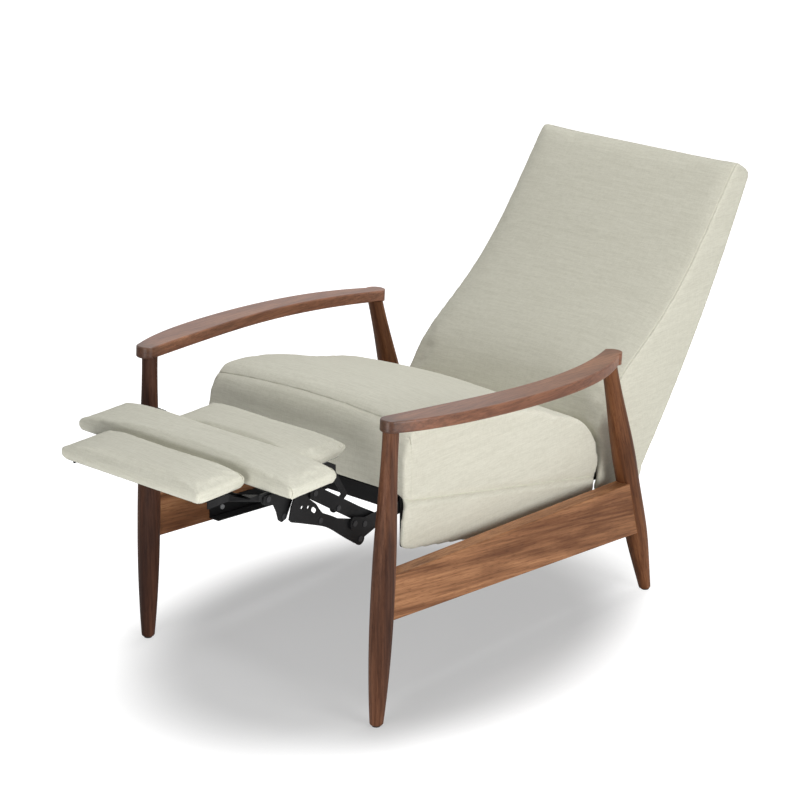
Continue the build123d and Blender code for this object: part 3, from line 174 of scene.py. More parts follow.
def grained_wood(name, pale, dark, along, seed, roughness, figure, shine, tilt=0.0, end=None):
    """Wood with slow changes of tone, grain drawn out along one axis, and short dark pores.

    figure is how often the tone goes to and fro, tilt turns the grain about X, and end gives the
    depths between which the dark end grain of an arm's nose fades out.
    """
    wood = bpy.data.materials.new(name)
    wood.use_nodes = True
    nodes, links = wood.node_tree.nodes, wood.node_tree.links
    skin = nodes["Principled BSDF"]
    skin.inputs["Roughness"].default_value = roughness
    skin.inputs["Specular IOR Level"].default_value = shine
    where = nodes.new("ShaderNodeTexCoord")

    def noise(across, length, detail, rough, warp):
        """A noise with so many cells to the metre across the grain, and so many along it."""
        stretch = [1.0 / across] * 3
        stretch["XYZ".index(along)] = 1.0 / length
        turn = nodes.new("ShaderNodeMapping")
        turn.vector_type = "TEXTURE"
        turn.inputs["Location"].default_value = (seed, seed * 0.7, seed * 1.3)
        turn.inputs["Rotation"].default_value = (tilt, 0.0, 0.0)
        turn.inputs["Scale"].default_value = stretch
        links.new(where.outputs["Object"], turn.inputs["Vector"])
        field = nodes.new("ShaderNodeTexNoise")
        field.inputs["Scale"].default_value = 1.0
        field.inputs["Detail"].default_value = detail
        field.inputs["Roughness"].default_value = rough
        field.inputs["Distortion"].default_value = warp
        links.new(turn.outputs["Vector"], field.inputs["Vector"])
        return field.outputs["Fac"]

    def ramp(source, low, high, first, last):
        tone = nodes.new("ShaderNodeValToRGB")
        tone.color_ramp.elements[0].position = low
        tone.color_ramp.elements[0].color = first
        tone.color_ramp.elements[1].position = high
        tone.color_ramp.elements[1].color = last
        links.new(source, tone.inputs["Fac"])
        return tone.outputs["Color"]

    def times(first, second, amount):
        stain = nodes.new("ShaderNodeMix")
        stain.data_type = "RGBA"
        stain.blend_type = "MULTIPLY"
        stain.inputs["Factor"].default_value = amount
        links.new(first, stain.inputs["A"])
        links.new(second, stain.inputs["B"])
        return stain.outputs["Result"]

    broad = noise(across=16.0, length=1.6, detail=3.0, rough=0.5, warp=0.3)
    rings = nodes.new("ShaderNodeMath")
    rings.operation = "MULTIPLY"
    rings.inputs[1].default_value = figure
    links.new(broad, rings.inputs[0])
    wave = nodes.new("ShaderNodeMath")
    wave.operation = "PINGPONG"
    wave.inputs[1].default_value = 1.0
    links.new(rings.outputs["Value"], wave.inputs[0])
    ground = ramp(wave.outputs["Value"], low=0.05, high=0.95, first=(*dark, 1.0), last=(*pale, 1.0))
    grain = noise(across=230.0, length=7.0, detail=4.0, rough=0.6, warp=0.0)
    fine = ramp(grain, low=0.36, high=0.60, first=(0.52, 0.46, 0.42, 1.0), last=white)
    body = times(ground, fine, amount=0.85)
    pore = noise(across=900.0, length=45.0, detail=1.0, rough=0.5, warp=0.0)
    specks = ramp(pore, low=0.34, high=0.42, first=(0.55, 0.50, 0.46, 1.0), last=white)
    body = times(body, specks, amount=0.7)
    if end:
        end_grain_tone = 0.42
        apart = nodes.new("ShaderNodeSeparateXYZ")
        links.new(where.outputs["Object"], apart.inputs["Vector"])
        nose = nodes.new("ShaderNodeMapRange")
        nose.interpolation_type = "SMOOTHSTEP"
        nose.inputs["From Min"].default_value = end[0]
        nose.inputs["From Max"].default_value = end[1]
        nose.inputs["To Min"].default_value = end_grain_tone
        nose.inputs["To Max"].default_value = 1.0
        links.new(apart.outputs["Y"], nose.inputs["Value"])
        shade = nodes.new("ShaderNodeCombineColor")
        for channel in ("Red", "Green", "Blue"):
            links.new(nose.outputs["Result"], shade.inputs[channel])
        body = times(body, shade.outputs["Color"], amount=1.0)
    links.new(body, skin.inputs["Base Color"])
    bump = nodes.new("ShaderNodeBump")
    bump.inputs["Strength"].default_value = 0.10
    bump.inputs["Distance"].default_value = 0.0005
    links.new(grain, bump.inputs["Height"])
    links.new(bump.outputs["Normal"], skin.inputs["Normal"])
    return wood


rear_leg_rake = math.radians(16.0)
leg_wood = grained_wood("leg_walnut", pale=(0.220, 0.094, 0.049), dark=(0.060, 0.022, 0.011),
                        along="Z", seed=7.7, roughness=0.45, figure=5.0, shine=0.2)
# A darker copy of the leg walnut for the right front leg: painted shade.
painted_shade_leg_wood = grained_wood("painted_shade_leg_walnut", pale=(0.135, 0.054, 0.028), dark=(0.045, 0.016, 0.009),
                             along="Z", seed=2.9, roughness=0.45, figure=5.0, shine=0.2)
rear_leg_wood = grained_wood("rear_leg_walnut", pale=(0.290, 0.118, 0.048), dark=(0.110, 0.040, 0.015),
                             along="Z", seed=4.1, roughness=0.45, figure=4.0, shine=0.2,
                             tilt=rear_leg_rake)
dress("front_leg_left", leg_wood)
dress("front_leg_right", painted_shade_leg_wood)
for side in ("left", "right"):
    dress(f"rear_leg_{side}", rear_leg_wood)

# Rails
# Walnut boards between the legs on each side and across the back, doweled at both ends. A
# lighter wood with long wandering figure.
rail_slope = math.radians(-8.3)
rail_wood = grained_wood("rail_walnut", pale=(0.430, 0.205, 0.094), dark=(0.200, 0.080, 0.032),
                         along="Y", seed=12.3, roughness=0.45, figure=7.0, shine=0.2, tilt=rail_slope)
for name in ("side_rail_left", "side_rail_right", "rear_rail", "rail_dowels"):
    dress(name, rail_wood)

# Arms
# Sawn from walnut board, bowed outwards in plan, with eased edges and a satin oil finish that
# catches the light along the top. End grain shows dark at the nose.
nose_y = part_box("arm_left")[0][1]
end_grain_depth = 0.002
end_grain_fade = 0.060
arm_wood = grained_wood("arm_walnut", pale=(0.380, 0.168, 0.085), dark=(0.220, 0.086, 0.042),
                        along="Y", seed=3.1, roughness=0.36, figure=4.0, shine=0.5,
                        end=(nose_y + end_grain_depth, nose_y + end_grain_fade))
for name in ("arm_left", "arm_right", "arm_dowels"):
    dress(name, arm_wood)


# Glides
# Black nylon discs, smaller than the feet they are nailed under. They lift the end grain off the
# floor.
def coated(name, colour, roughness, grain, shine):
    """Dull skin with a fine orange peel, for coated steel and moulded nylon."""
    steel = bpy.data.materials.new(name)
    steel.use_nodes = True
    nodes, links = steel.node_tree.nodes, steel.node_tree.links
    skin = nodes["Principled BSDF"]
    skin.inputs["Specular IOR Level"].default_value = shine
    where = nodes.new("ShaderNodeTexCoord")
    peel = nodes.new("ShaderNodeTexNoise")
    peel.inputs["Scale"].default_value = grain
    peel.inputs["Detail"].default_value = 3.0
    links.new(where.outputs["Object"], peel.inputs["Vector"])
    tone = nodes.new("ShaderNodeValToRGB")
    tone.color_ramp.elements[0].position = 0.3
    tone.color_ramp.elements[0].color = tuple(c * 0.75 for c in colour) + (1.0,)
    tone.color_ramp.elements[1].position = 0.7
    tone.color_ramp.elements[1].color = tuple(min(1.0, c * 1.3) for c in colour) + (1.0,)
    links.new(peel.outputs["Fac"], tone.inputs["Fac"])
    links.new(tone.outputs["Color"], skin.inputs["Base Color"])
    gloss = nodes.new("ShaderNodeMapRange")
    gloss.inputs["To Min"].default_value = roughness - 0.06
    gloss.inputs["To Max"].default_value = roughness + 0.08
    links.new(peel.outputs["Fac"], gloss.inputs["Value"])
    links.new(gloss.outputs["Result"], skin.inputs["Roughness"])
    bump = nodes.new("ShaderNodeBump")
    bump.inputs["Strength"].default_value = 0.15
    bump.inputs["Distance"].default_value = 0.0003
    links.new(peel.outputs["Fac"], bump.inputs["Height"])
    links.new(bump.outputs["Normal"], skin.inputs["Normal"])
    return steel


dress("foot_glides", coated("glide_nylon", colour=(0.02, 0.018, 0.016), roughness=0.55, grain=900.0,
                            shine=0.3))

# Steel base, rockers and screws
# Angle rails screwed inside the side rails, two cross tubes with stands on them, and the flat
# rockers that swing the seat. Powder coated black, riveted.
black_coat = coated("black_powder_coat", colour=(0.0065, 0.0065, 0.007), roughness=0.44, grain=420.0,
                    shine=0.22)
rivet_coat = coated("worn_rivet_steel", colour=(0.022, 0.022, 0.024), roughness=0.36, grain=700.0,
                    shine=0.4)
screw_zinc = coated("zinc_plate", colour=(0.32, 0.33, 0.34), roughness=0.35, grain=700.0, shine=0.6)
for name in ("base_rail_left", "base_rail_right", "front_cross_tube", "rear_cross_tube",
             "rocker_stands", "front_rockers", "rear_rockers"):
    dress(name, black_coat)
dress("stand_rivets", rivet_coat)
dress("base_screws", screw_zinc)

# Seat plates and cross rail
# Laser-cut steel side plates screwed to the seat frame, with a pressed angle between them.
# Everything in the leg rest hangs from them.
for name in ("seat_plate_left", "seat_plate_right", "seat_cross_rail"):
    dress(name, black_coat)
dress("seat_rivets", rivet_coat)
dress("plate_screws", screw_zinc)

# Seat frame
# Raw beech rails joined at the corners, at the slope of the seat. The webbing is stapled on top
# of them and the dust cover underneath.
beech = grained_wood("beech", pale=(0.60, 0.43, 0.28), dark=(0.50, 0.34, 0.21), along="X", seed=5.0,
                     roughness=0.6, figure=2.0, shine=0.3)
dress("seat_frame", beech)


# Linen cover cloth
# Oat-coloured linen with fine slubs along the weft, which runs across the chair and along the
# sides. It covers the seat, the back and the leg-rest pads.
def linen(name, seed, light, shade, fuzz=0.15, faces=1.0):
    """Plain-woven linen: long faint slubs, short fine ones, a weave in the bump.

    faces scales the colour of the front and rear, where the sides keep 1: painted shade for faces
    that catch less light than the sides. On the back it is darker.
    """
    cloth = bpy.data.materials.new(name)
    cloth.use_nodes = True
    nodes, links = cloth.node_tree.nodes, cloth.node_tree.links
    skin = nodes["Principled BSDF"]
    skin.inputs["Roughness"].default_value = 0.95
    skin.inputs["Specular IOR Level"].default_value = 0.08
    skin.inputs["Sheen Weight"].default_value = fuzz
    skin.inputs["Sheen Roughness"].default_value = 0.6
    where = nodes.new("ShaderNodeTexCoord")
    facing = nodes.new("ShaderNodeSeparateXYZ")
    links.new(where.outputs["Normal"], facing.inputs["Vector"])
    sideways = nodes.new("ShaderNodeMath")
    sideways.operation = "ABSOLUTE"
    links.new(facing.outputs["X"], sideways.inputs[0])
    cheek = nodes.new("ShaderNodeMapRange")
    cheek.inputs["From Min"].default_value = 0.62
    cheek.inputs["From Max"].default_value = 0.82
    links.new(sideways.outputs["Value"], cheek.inputs["Value"])

    def threads(across, cheeks, size, detail):
        """One noise, drawn out one way on the faces and another way on the sides."""
        pair = []
        for stretch in (across, cheeks):
            turn = nodes.new("ShaderNodeMapping")
            turn.inputs["Location"].default_value = (seed, seed * 1.9, seed * 0.6)
            turn.inputs["Scale"].default_value = stretch
            links.new(where.outputs["Object"], turn.inputs["Vector"])
            field = nodes.new("ShaderNodeTexNoise")
            field.inputs["Scale"].default_value = size
            field.inputs["Detail"].default_value = detail
            field.inputs["Roughness"].default_value = 0.6
            links.new(turn.outputs["Vector"], field.inputs["Vector"])
            pair.append(field)
        join = nodes.new("ShaderNodeMix")
        join.data_type = "FLOAT"
        links.new(cheek.outputs["Result"], join.inputs["Factor"])
        links.new(pair[0].outputs["Fac"], join.inputs["A"])
        links.new(pair[1].outputs["Fac"], join.inputs["B"])
        return join.outputs["Result"]

    def stretched(source, low, high):
        """The part of a noise between two levels, spread over 0 to 1."""
        spread = nodes.new("ShaderNodeMapRange")
        spread.inputs["From Min"].default_value = low
        spread.inputs["From Max"].default_value = high
        links.new(source, spread.inputs["Value"])
        return spread.outputs["Result"]

    slubs = threads(across=(0.12, 1.0, 1.0), cheeks=(1.0, 0.12, 1.0), size=520.0, detail=3.0)
    streaks = threads(across=(0.06, 1.0, 1.0), cheeks=(1.0, 0.06, 1.0), size=170.0, detail=2.0)
    warp = threads(across=(1.0, 0.14, 0.14), cheeks=(1.0, 1.0, 0.12), size=620.0, detail=2.0)
    blend = nodes.new("ShaderNodeMix")
    blend.data_type = "FLOAT"
    blend.inputs["Factor"].default_value = 0.40
    links.new(stretched(slubs, low=0.28, high=0.72), blend.inputs["A"])
    links.new(stretched(warp, low=0.28, high=0.72), blend.inputs["B"])
    whole = nodes.new("ShaderNodeMix")
    whole.data_type = "FLOAT"
    whole.inputs["Factor"].default_value = 0.30
    links.new(blend.outputs["Result"], whole.inputs["A"])
    links.new(stretched(streaks, low=0.25, high=0.75), whole.inputs["B"])
    tone = nodes.new("ShaderNodeValToRGB")
    tone.color_ramp.elements[0].position = 0.18
    tone.color_ramp.elements[0].color = tuple(shade) + (1.0,)
    tone.color_ramp.elements[1].position = 0.72
    tone.color_ramp.elements[1].color = tuple(light) + (1.0,)
    links.new(whole.outputs["Result"], tone.inputs["Fac"])
    # Painted shade: the front and rear take the faces factor, the sides keep 1.
    painted_face_shade = nodes.new("ShaderNodeMapRange")
    painted_face_shade.inputs["To Min"].default_value = faces
    painted_face_shade.inputs["To Max"].default_value = 1.0
    links.new(cheek.outputs["Result"], painted_face_shade.inputs["Value"])
    dye = nodes.new("ShaderNodeVectorMath")
    dye.operation = "SCALE"
    links.new(tone.outputs["Color"], dye.inputs["Vector"])
    links.new(painted_face_shade.outputs["Result"], dye.inputs["Scale"])
    links.new(dye.outputs["Vector"], skin.inputs["Base Color"])
    weave = nodes.new("ShaderNodeMath")
    weave.operation = "ADD"
    links.new(slubs, weave.inputs[0])
    links.new(warp, weave.inputs[1])
    bump = nodes.new("ShaderNodeBump")
    bump.inputs["Strength"].default_value = 0.30
    bump.inputs["Distance"].default_value = 0.0006
    links.new(weave.outputs["Value"], bump.inputs["Height"])
    links.new(bump.outputs["Normal"], skin.inputs["Normal"])
    return cloth


oat_linen = linen("oat_linen", seed=2.3, light=(0.730, 0.718, 0.612), shade=(0.618, 0.604, 0.500))
# The back's front and rear are darkened to 0.86 of the colour: painted shade.
back_linen = linen("back_linen", seed=6.9, light=(0.730, 0.716, 0.606), shade=(0.610, 0.594, 0.488),
                   faces=0.86)
cambric = linen("black_cambric", seed=5.1, light=(0.020, 0.020, 0.020), shade=(0.010, 0.010, 0.010),
                fuzz=0.05)

# Seat webbing
# Five woven straps across the seat frame, stapled to its side rails and pulled tight. Each dips a
# little in the middle.
strap_count = 5
strap_width = 0.05
strap_dip = 0.003
strap_thickness = 0.0016
dip_share = 0.9
seat_slope = math.radians(12.0)
crease = math.radians(40)
webbing = linen("brown_webbing", seed=8.8, light=(0.085, 0.062, 0.045), shade=(0.050, 0.036, 0.026),
                fuzz=0.1)
low, high = (Vector(corner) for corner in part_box("seat_webbing"))
run = high.y - low.y
step = (run - strap_width) / (strap_count - 1)
half_span = (high.x - low.x) / 2.0
seat_straps = []
for place in range(strap_count):
    y = low.y + strap_width / 2.0 + step * place
    downhill = (y - low.y) / run
    top = high.z + (low.z - high.z) * downhill
    bpy.ops.object.select_all(action="DESELECT")
    bpy.ops.mesh.primitive_grid_add(x_subdivisions=24, y_subdivisions=4, size=1.0,
                                    location=(0.0, y, top))
    strap = bpy.context.object
    strap.scale = (high.x - low.x, strap_width, 1.0)
    strap.rotation_euler = (-seat_slope, 0.0, 0.0)
    bpy.ops.object.transform_apply(location=True, rotation=True, scale=True)
    for vertex in strap.data.vertices:
        across = abs(vertex.co.x) / half_span
        vertex.co.z -= strap_dip * max(0.0, 1.0 - (across / dip_share) ** 2)
    wall = strap.modifiers.new("wall", "SOLIDIFY")
    wall.thickness = strap_thickness
    bpy.ops.object.modifier_apply(modifier=wall.name)
    seat_straps.append(strap)
bpy.ops.object.select_all(action="DESELECT")
for strap in seat_straps:
    strap.select_set(True)
bpy.context.view_layer.objects.active = seat_straps[0]
bpy.ops.object.join()
straps = bpy.context.object
straps.name = "seat_straps"
straps.data.materials.clear()
straps.data.materials.append(webbing)
bpy.ops.object.shade_smooth_by_angle(angle=crease)
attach(straps, "seat")
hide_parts("seat_webbing")

# Dust cover
# Thin black cambric, stretched and stapled under the seat frame, so that it hangs only 4 mm down
# between the rails.
cambric_sag = 0.004
cambric_thickness = 0.0007
hem = 0.002
low, high = (Vector(corner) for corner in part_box("dust_cover"))
middle = (low + high) / 2.0
run = (high.y - low.y) / math.cos(seat_slope)
bpy.ops.object.select_all(action="DESELECT")
bpy.ops.mesh.primitive_grid_add(x_subdivisions=28, y_subdivisions=28, size=1.0, location=middle)
dust = bpy.context.object
dust.name = "under_seat_cambric"
dust.scale = (high.x - low.x, run - hem, 1.0)
dust.rotation_euler = (-seat_slope, 0.0, 0.0)
bpy.ops.object.transform_apply(location=True, rotation=True, scale=True)
for vertex in dust.data.vertices:
    across = (vertex.co.x - middle.x) / (high.x - low.x) * 2.0
    along = (vertex.co.y - middle.y) / (high.y - low.y) * 2.0
    vertex.co.z -= cambric_sag * max(0.0, 1.0 - across ** 4) * max(0.0, 1.0 - along ** 4)
wall = dust.modifiers.new("wall", "SOLIDIFY")
wall.thickness = cambric_thickness
bpy.ops.object.modifier_apply(modifier=wall.name)
dust.data.materials.append(cambric)
bpy.ops.object.shade_smooth_by_angle(angle=crease)
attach(dust, "seat")
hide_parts("dust_cover")


# Seat
# One fitted cover over foam, batting and two padded side panels: a rolled front edge with a
# plain seam across it, a fascia below, boxed sides with a long seam and a tucked round tail.
weld = 0.00002
grown = 0.0005


def share(value, span):
    """How far a distance has come along a stretch, from 0 to 1."""
    return min(1.0, max(0.0, value / span))


def gather(name, *parts):
    """One loose mesh of the solids of a cushion, each grown by half a millimetre to meet."""
    whole = bmesh.new()
    for part in parts:
        shell = bmesh.new()
        shell.from_mesh(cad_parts[part].data)
        bmesh.ops.remove_doubles(shell, verts=shell.verts, dist=weld)
        bmesh.ops.recalc_face_normals(shell, faces=shell.faces)
        shell.normal_update()
        for vertex, way in [(v, v.normal.copy()) for v in shell.verts]:
            vertex.co += way * grown
        data = bpy.data.meshes.new("shell")
        shell.to_mesh(data)
        shell.free()
        whole.from_mesh(data)
        bpy.data.meshes.remove(data)
    data = bpy.data.meshes.new(name)
    whole.to_mesh(data)
    whole.free()
    piece = bpy.data.objects.new(name, data)
    bpy.context.scene.collection.objects.link(piece)
    return piece


def plump(piece, voxel, room, held=None):
    """Makes one cover of a cushion's solids, eases its edges and blows it out as cloth.

    room gives how far each point may move, and held says which points stay where they are.
    """
    last_frame = 20
    bpy.ops.object.select_all(action="DESELECT")
    bpy.context.view_layer.objects.active = piece
    piece.select_set(True)
    remesh = piece.modifiers.new("remesh", "REMESH")
    remesh.mode = "VOXEL"
    remesh.voxel_size = voxel
    bpy.ops.object.modifier_apply(modifier=remesh.name)
    relax = piece.modifiers.new("relax", "SMOOTH")
    relax.factor = 0.5
    relax.iterations = 2
    bpy.ops.object.modifier_apply(modifier=relax.name)
    before = np.empty(len(piece.data.vertices) * 3)
    piece.data.vertices.foreach_get("co", before)
    before = before.reshape(-1, 3)
    if held:
        group = piece.vertex_groups.new(name="held")
        group.add([v.index for v in piece.data.vertices if held(v.co)], 1.0, "REPLACE")
    cloth = piece.modifiers.new("cloth", "CLOTH")
    cloth.settings.use_pressure = True
    cloth.settings.uniform_pressure_force = 4.0
    cloth.settings.effector_weights.gravity = 0.0
    cloth.settings.quality = 4
    cloth.settings.tension_stiffness = 30.0
    cloth.settings.compression_stiffness = 30.0
    cloth.settings.bending_stiffness = 1.0
    if held:
        cloth.settings.vertex_group_mass = "held"
    cloth.point_cache.frame_start = 1
    cloth.point_cache.frame_end = last_frame
    for step in range(1, last_frame + 1):
        bpy.context.scene.frame_set(step)
    bpy.ops.object.modifier_apply(modifier=cloth.name)
    bpy.context.scene.frame_set(1)
    if held:
        piece.vertex_groups.clear()
    after = np.empty(len(piece.data.vertices) * 3)
    piece.data.vertices.foreach_get("co", after)
    move = after.reshape(-1, 3) - before
    length = np.linalg.norm(move, axis=1)
    limit = room(before)
    move *= (limit * np.tanh(length / limit) / np.maximum(length, 1e-9))[:, None]
    piece.data.vertices.foreach_set("co", (before + move).ravel())
    piece.data.update()
    fine = piece.modifiers.new("fine", "SUBSURF")
    fine.levels = fine.render_levels = 1
    bpy.ops.object.modifier_apply(modifier=fine.name)


def sew(piece, point, normal, low, high, facing, sink=0.0018, half=0.0014, pull=0.0012, crown=None):
    """Sews a plain seam where a plane meets one side of the cover: a crisp line in a soft dip.

    The line is sink deep and half wide to each side of its middle, the dip round it pull deep. A
    crown lifts the cover by a formula while it is cut, so that the seam bends the other way.
    """
    band = 0.009
    dip_width = 0.007
    dip_reach = 0.024
    point, normal, facing = Vector(point), Vector(normal).normalized(), Vector(facing)
    shell = bmesh.new()
    shell.from_mesh(piece.data)
    shell.normal_update()
    if crown:
        for vertex in shell.verts:
            vertex.co.z += crown(vertex.co)

    def within(place):
        return all(low[i] <= place[i] <= high[i] for i in range(3))

    for shift in (-half, 0.0, half):
        spot = point + normal * shift
        faces = [f for f in shell.faces
                 if abs((f.calc_center_median() - spot).dot(normal)) < band
                 and f.normal.dot(facing) > 0.3 and within(f.calc_center_median())]
        geom = set(faces)
        for face in faces:
            geom.update(face.edges)
            geom.update(face.verts)
        bmesh.ops.bisect_plane(shell, geom=list(geom), dist=0.00001, plane_co=spot, plane_no=normal)
    shell.normal_update()
    moves = []
    for vertex in shell.verts:
        away = abs((vertex.co - point).dot(normal))
        if away < dip_reach and vertex.normal.dot(facing) > 0.15 and within(vertex.co):
            depth = pull * math.exp(-(away / dip_width) ** 2) + (sink if away < half * 0.5 else 0.0)
            moves.append((vertex, vertex.normal * depth))
    for vertex, step in moves:
        vertex.co -= step
    if crown:
        for vertex in shell.verts:
            vertex.co.z -= crown(vertex.co)
    shell.to_mesh(piece.data)
    shell.free()


def cover(piece, body, fill, cloth, *parts):
    """Linen, smooth shading, and the CAD pieces that this cushion stands for."""
    piece.data.materials.clear()
    piece.data.materials.append(cloth)
    bpy.ops.object.select_all(action="DESELECT")
    bpy.context.view_layer.objects.active = piece
    piece.select_set(True)
    bpy.ops.object.shade_smooth()
    piece.select_set(False)
    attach(piece, body)
    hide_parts(*parts)


seat_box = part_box("seat_cushion")
seat_front = seat_box[0][1]
seat_half = seat_box[1][0]
seat = gather("seat_pad", "seat_cushion", "seat_side_left", "seat_side_right")

# The seat is worn in: a little fuller behind the roll and lower towards the tail, most at the sides.
worn_height = 0.450
worn_fall = 0.2126
worn_depth = 0.05
worn_start = 0.16
worn_run = 0.17
fuller = 0.002
lower = 0.009
middle_share = 0.35
for vertex in seat.data.vertices:
    place = vertex.co
    depth = place.y - seat_front
    above = share(place.z - worn_height + worn_fall * depth, worn_depth)
    rim = share(abs(place.x) - 0.02, 0.18)
    along = share(depth - worn_start, worn_run)
    wear = fuller - lower * along * along * (3.0 - 2.0 * along)
    place.z += wear * above * (middle_share + (1.0 - middle_share) * rim)

side_skin = 0.012
side_room = 0.0012
crest_room = 0.0028


def seat_room(places):
    """The sides and the panels stay nearly flat, the crest may swell."""
    flat = np.abs(places[:, 0]) > seat_half - side_skin
    return np.where(flat, side_room, crest_room)


plump(seat, voxel=0.0076, room=seat_room)

# The long seams over the side panels, the short ones up the front corners, and the bowed one
# across the roll.
panel_setback = 0.011
panel_height = 0.391
corner_setback = 0.019
roll_setback = 0.0315
roll_height = 0.5390
roll_bow = 0.018
for way in (1, -1):
    near, far = sorted((way * (seat_half - 0.03), way * (seat_half + 0.03)))
    sew(seat, (0.0, seat_front + panel_setback, panel_height),
        (0.0, math.sin(seat_slope), math.cos(seat_slope)), (near, -1.0, 0.0), (far, 1.0, 1.0),
        (way, 0.0, 0.0), sink=0.0052, half=0.0022, pull=0.0036)
    sew(seat, (0.0, seat_front + corner_setback, 0.4), (0.0, 1.0, 0.0),
        (near, -1.0, 0.397), (far, 1.0, 0.53), (way, 0.0, 0.0), sink=0.0020, half=0.0014, pull=0.0008)
sew(seat, (0.0, seat_front + roll_setback, roll_height), (0.0, 0.827, 0.562),
    (-0.3, -1.0, 0.47), (0.3, seat_front + 0.07, 1.0), (0.0, -0.6, 0.8),
    sink=0.0017, half=0.0014, pull=0.0014, crown=lambda place: roll_bow * (place.x / seat_half) ** 2)

# The panel below the long seam stands a little proud and reaches further forward, the tail's rim
# is rounded, and the lining of the panels stays outside the steel plates.
tail = (0.1438, 0.300)
tail_rim = 0.130
rim_round = 0.0035
rim_width = 0.006
panel_proud = 0.0022
panel_crest = 0.010
panel_soft = 0.008
front_edge = 0.02
front_reach = 0.0030
plate_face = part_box("seat_plate_left")[1][0] + 0.0004
lining_depth = 0.014
shell = bmesh.new()
shell.from_mesh(seat.data)
for vertex in shell.verts:
    place = vertex.co
    if plate_face - lining_depth < abs(place.x) < plate_face:
        # Points before this one may have moved, so the slope here is worked out afresh.
        for face in vertex.link_faces:
            face.normal_update()
        vertex.normal_update()
        if math.copysign(1.0, place.x) * vertex.normal.x < -0.4:
            place.x = math.copysign(plate_face, place.x)
    if abs(place.x) > seat_half - side_skin:
        below = -((place.y - seat_front - panel_setback) * math.sin(seat_slope)
                  + (place.z - panel_height) * math.cos(seat_slope))
        inward = 0.0
        if place.y > tail[0] - 0.03:
            inward = rim_round * math.exp(-((tail_rim - math.dist(tail, place[1:])) / rim_width) ** 2)
        proud = panel_proud * math.exp(-((below - panel_crest) / panel_soft) ** 2)
        if below > 0.0 and place.y < seat_front + front_edge:
            place.y -= front_reach * share(below, 0.02) * (seat_front + front_edge - place.y) / front_edge
        place.x += math.copysign(proud - inward, place.x)
shell.to_mesh(seat.data)
shell.free()
cover(seat, "seat", 0.95, oat_linen, "seat_cushion", "seat_side_left", "seat_side_right")

# Back frame and brackets
# Beech stiles with three cross rails and six straps of webbing over them, carried from the seat
# plates' rear pins by flat steel brackets.
dress("back_frame", beech)
for name in ("back_bracket_left", "back_bracket_right"):
    dress(name, black_coat)
back_strap_dip = 0.004
long_edge = 0.2
shell = bmesh.new()
shell.from_mesh(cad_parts["back_webbing"].data)
bmesh.ops.remove_doubles(shell, verts=shell.verts, dist=weld)
bmesh.ops.recalc_face_normals(shell, faces=shell.faces)
bmesh.ops.subdivide_edges(shell, edges=[e for e in shell.edges if e.calc_length() > long_edge],
                          cuts=15, use_grid_fill=True)
half_span = max(abs(v.co.x) for v in shell.verts)
for vertex in shell.verts:
    vertex.co.y += back_strap_dip * max(0.0, 1.0 - (abs(vertex.co.x) / half_span / dip_share) ** 2)
data = bpy.data.meshes.new("back_straps")
shell.to_mesh(data)
shell.free()
back_straps = bpy.data.objects.new("back_straps", data)
bpy.context.scene.collection.objects.link(back_straps)
back_straps.data.materials.append(webbing)
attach(back_straps, "back")
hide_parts("back_webbing")

# Back
# Deep foam at the foot thinning to the top, with padded sides and an outside panel, all under
# one cover that is seamed along its front edges and round the panel behind.
back_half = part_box("back_side_left")[1][0]
back_side_room = 0.0022
back_face_room = 0.0044
back = gather("back_pad", "back_cushion", "back_side_left", "back_side_right", "outside_back")


def back_room(places):
    """The sides stay nearly flat, the face and the rear may swell."""
    flat = np.abs(places[:, 0]) > back_half - side_skin
    return np.where(flat, back_side_room, back_face_room)


plump(back, voxel=0.0082, room=back_room)

# Seams along the front edges, and round the outside panel behind.
front_seam = 0.0075
rear_seam = 0.0130
for way in (1, -1):
    near, far = sorted((way * (back_half - 0.02), way * (back_half + 0.03)))
    sew(back, (way * (back_half - front_seam), 0.0, 0.0), (1.0, 0.0, 0.0),
        (near, -1.0, 0.44), (far, 1.0, 1.0), (0.0, -0.7, 0.5), pull=0.0006)
    sew(back, (way * (back_half - rear_seam), 0.0, 0.0), (1.0, 0.0, 0.0),
        (near, -1.0, 0.2), (far, 1.0, 0.80), (0.0, 0.85, -0.5), pull=0.0006)

# The edge that turns round the seat's tail stands clear of it, the foot hangs to the rails.
tuck_reach = 0.152
tuck_soft = 0.018
tuck_lowest = 0.27
tuck = 0.0050
foot_top = 0.28
foot_rear = 0.42
foot_drop = 0.010
for vertex in back.data.vertices:
    place = vertex.co
    away = math.dist(tail, place[1:])
    if away < tuck_reach and place.z > tuck_lowest:
        drawn = tuck * share(tuck_reach - away, tuck_soft) * share(place.z - tuck_lowest, 0.04)
        place.y += (place.y - tail[0]) / away * drawn
        place.z += (place.z - tail[1]) / away * drawn
        if abs(place.x) > back_half - side_skin:
            place.x -= math.copysign(0.6 * drawn, place.x)
    if place.z < foot_top and place.y < foot_rear:
        place.z -= foot_drop * share(foot_top - place.z, 0.03)
cover(back, "back", 0.95, back_linen, "back_cushion", "back_side_left", "back_side_right", "outside_back")

# Leg-rest linkage
# Flat steel links in layers inside the seat plates, riveted so that they turn, and the brackets
# that carry the pads. Powder coated black.
for name in ("swing_links", "carrier_links", "curved_links", "lift_links", "ottoman_bracket_left",
             "ottoman_bracket_right", "inner_arm_left", "inner_arm_right"):
    dress(name, black_coat)
for name in ("carrier_rivets", "curved_link_rivets", "lift_link_rivets", "bracket_rivets"):
    dress(name, rivet_coat)

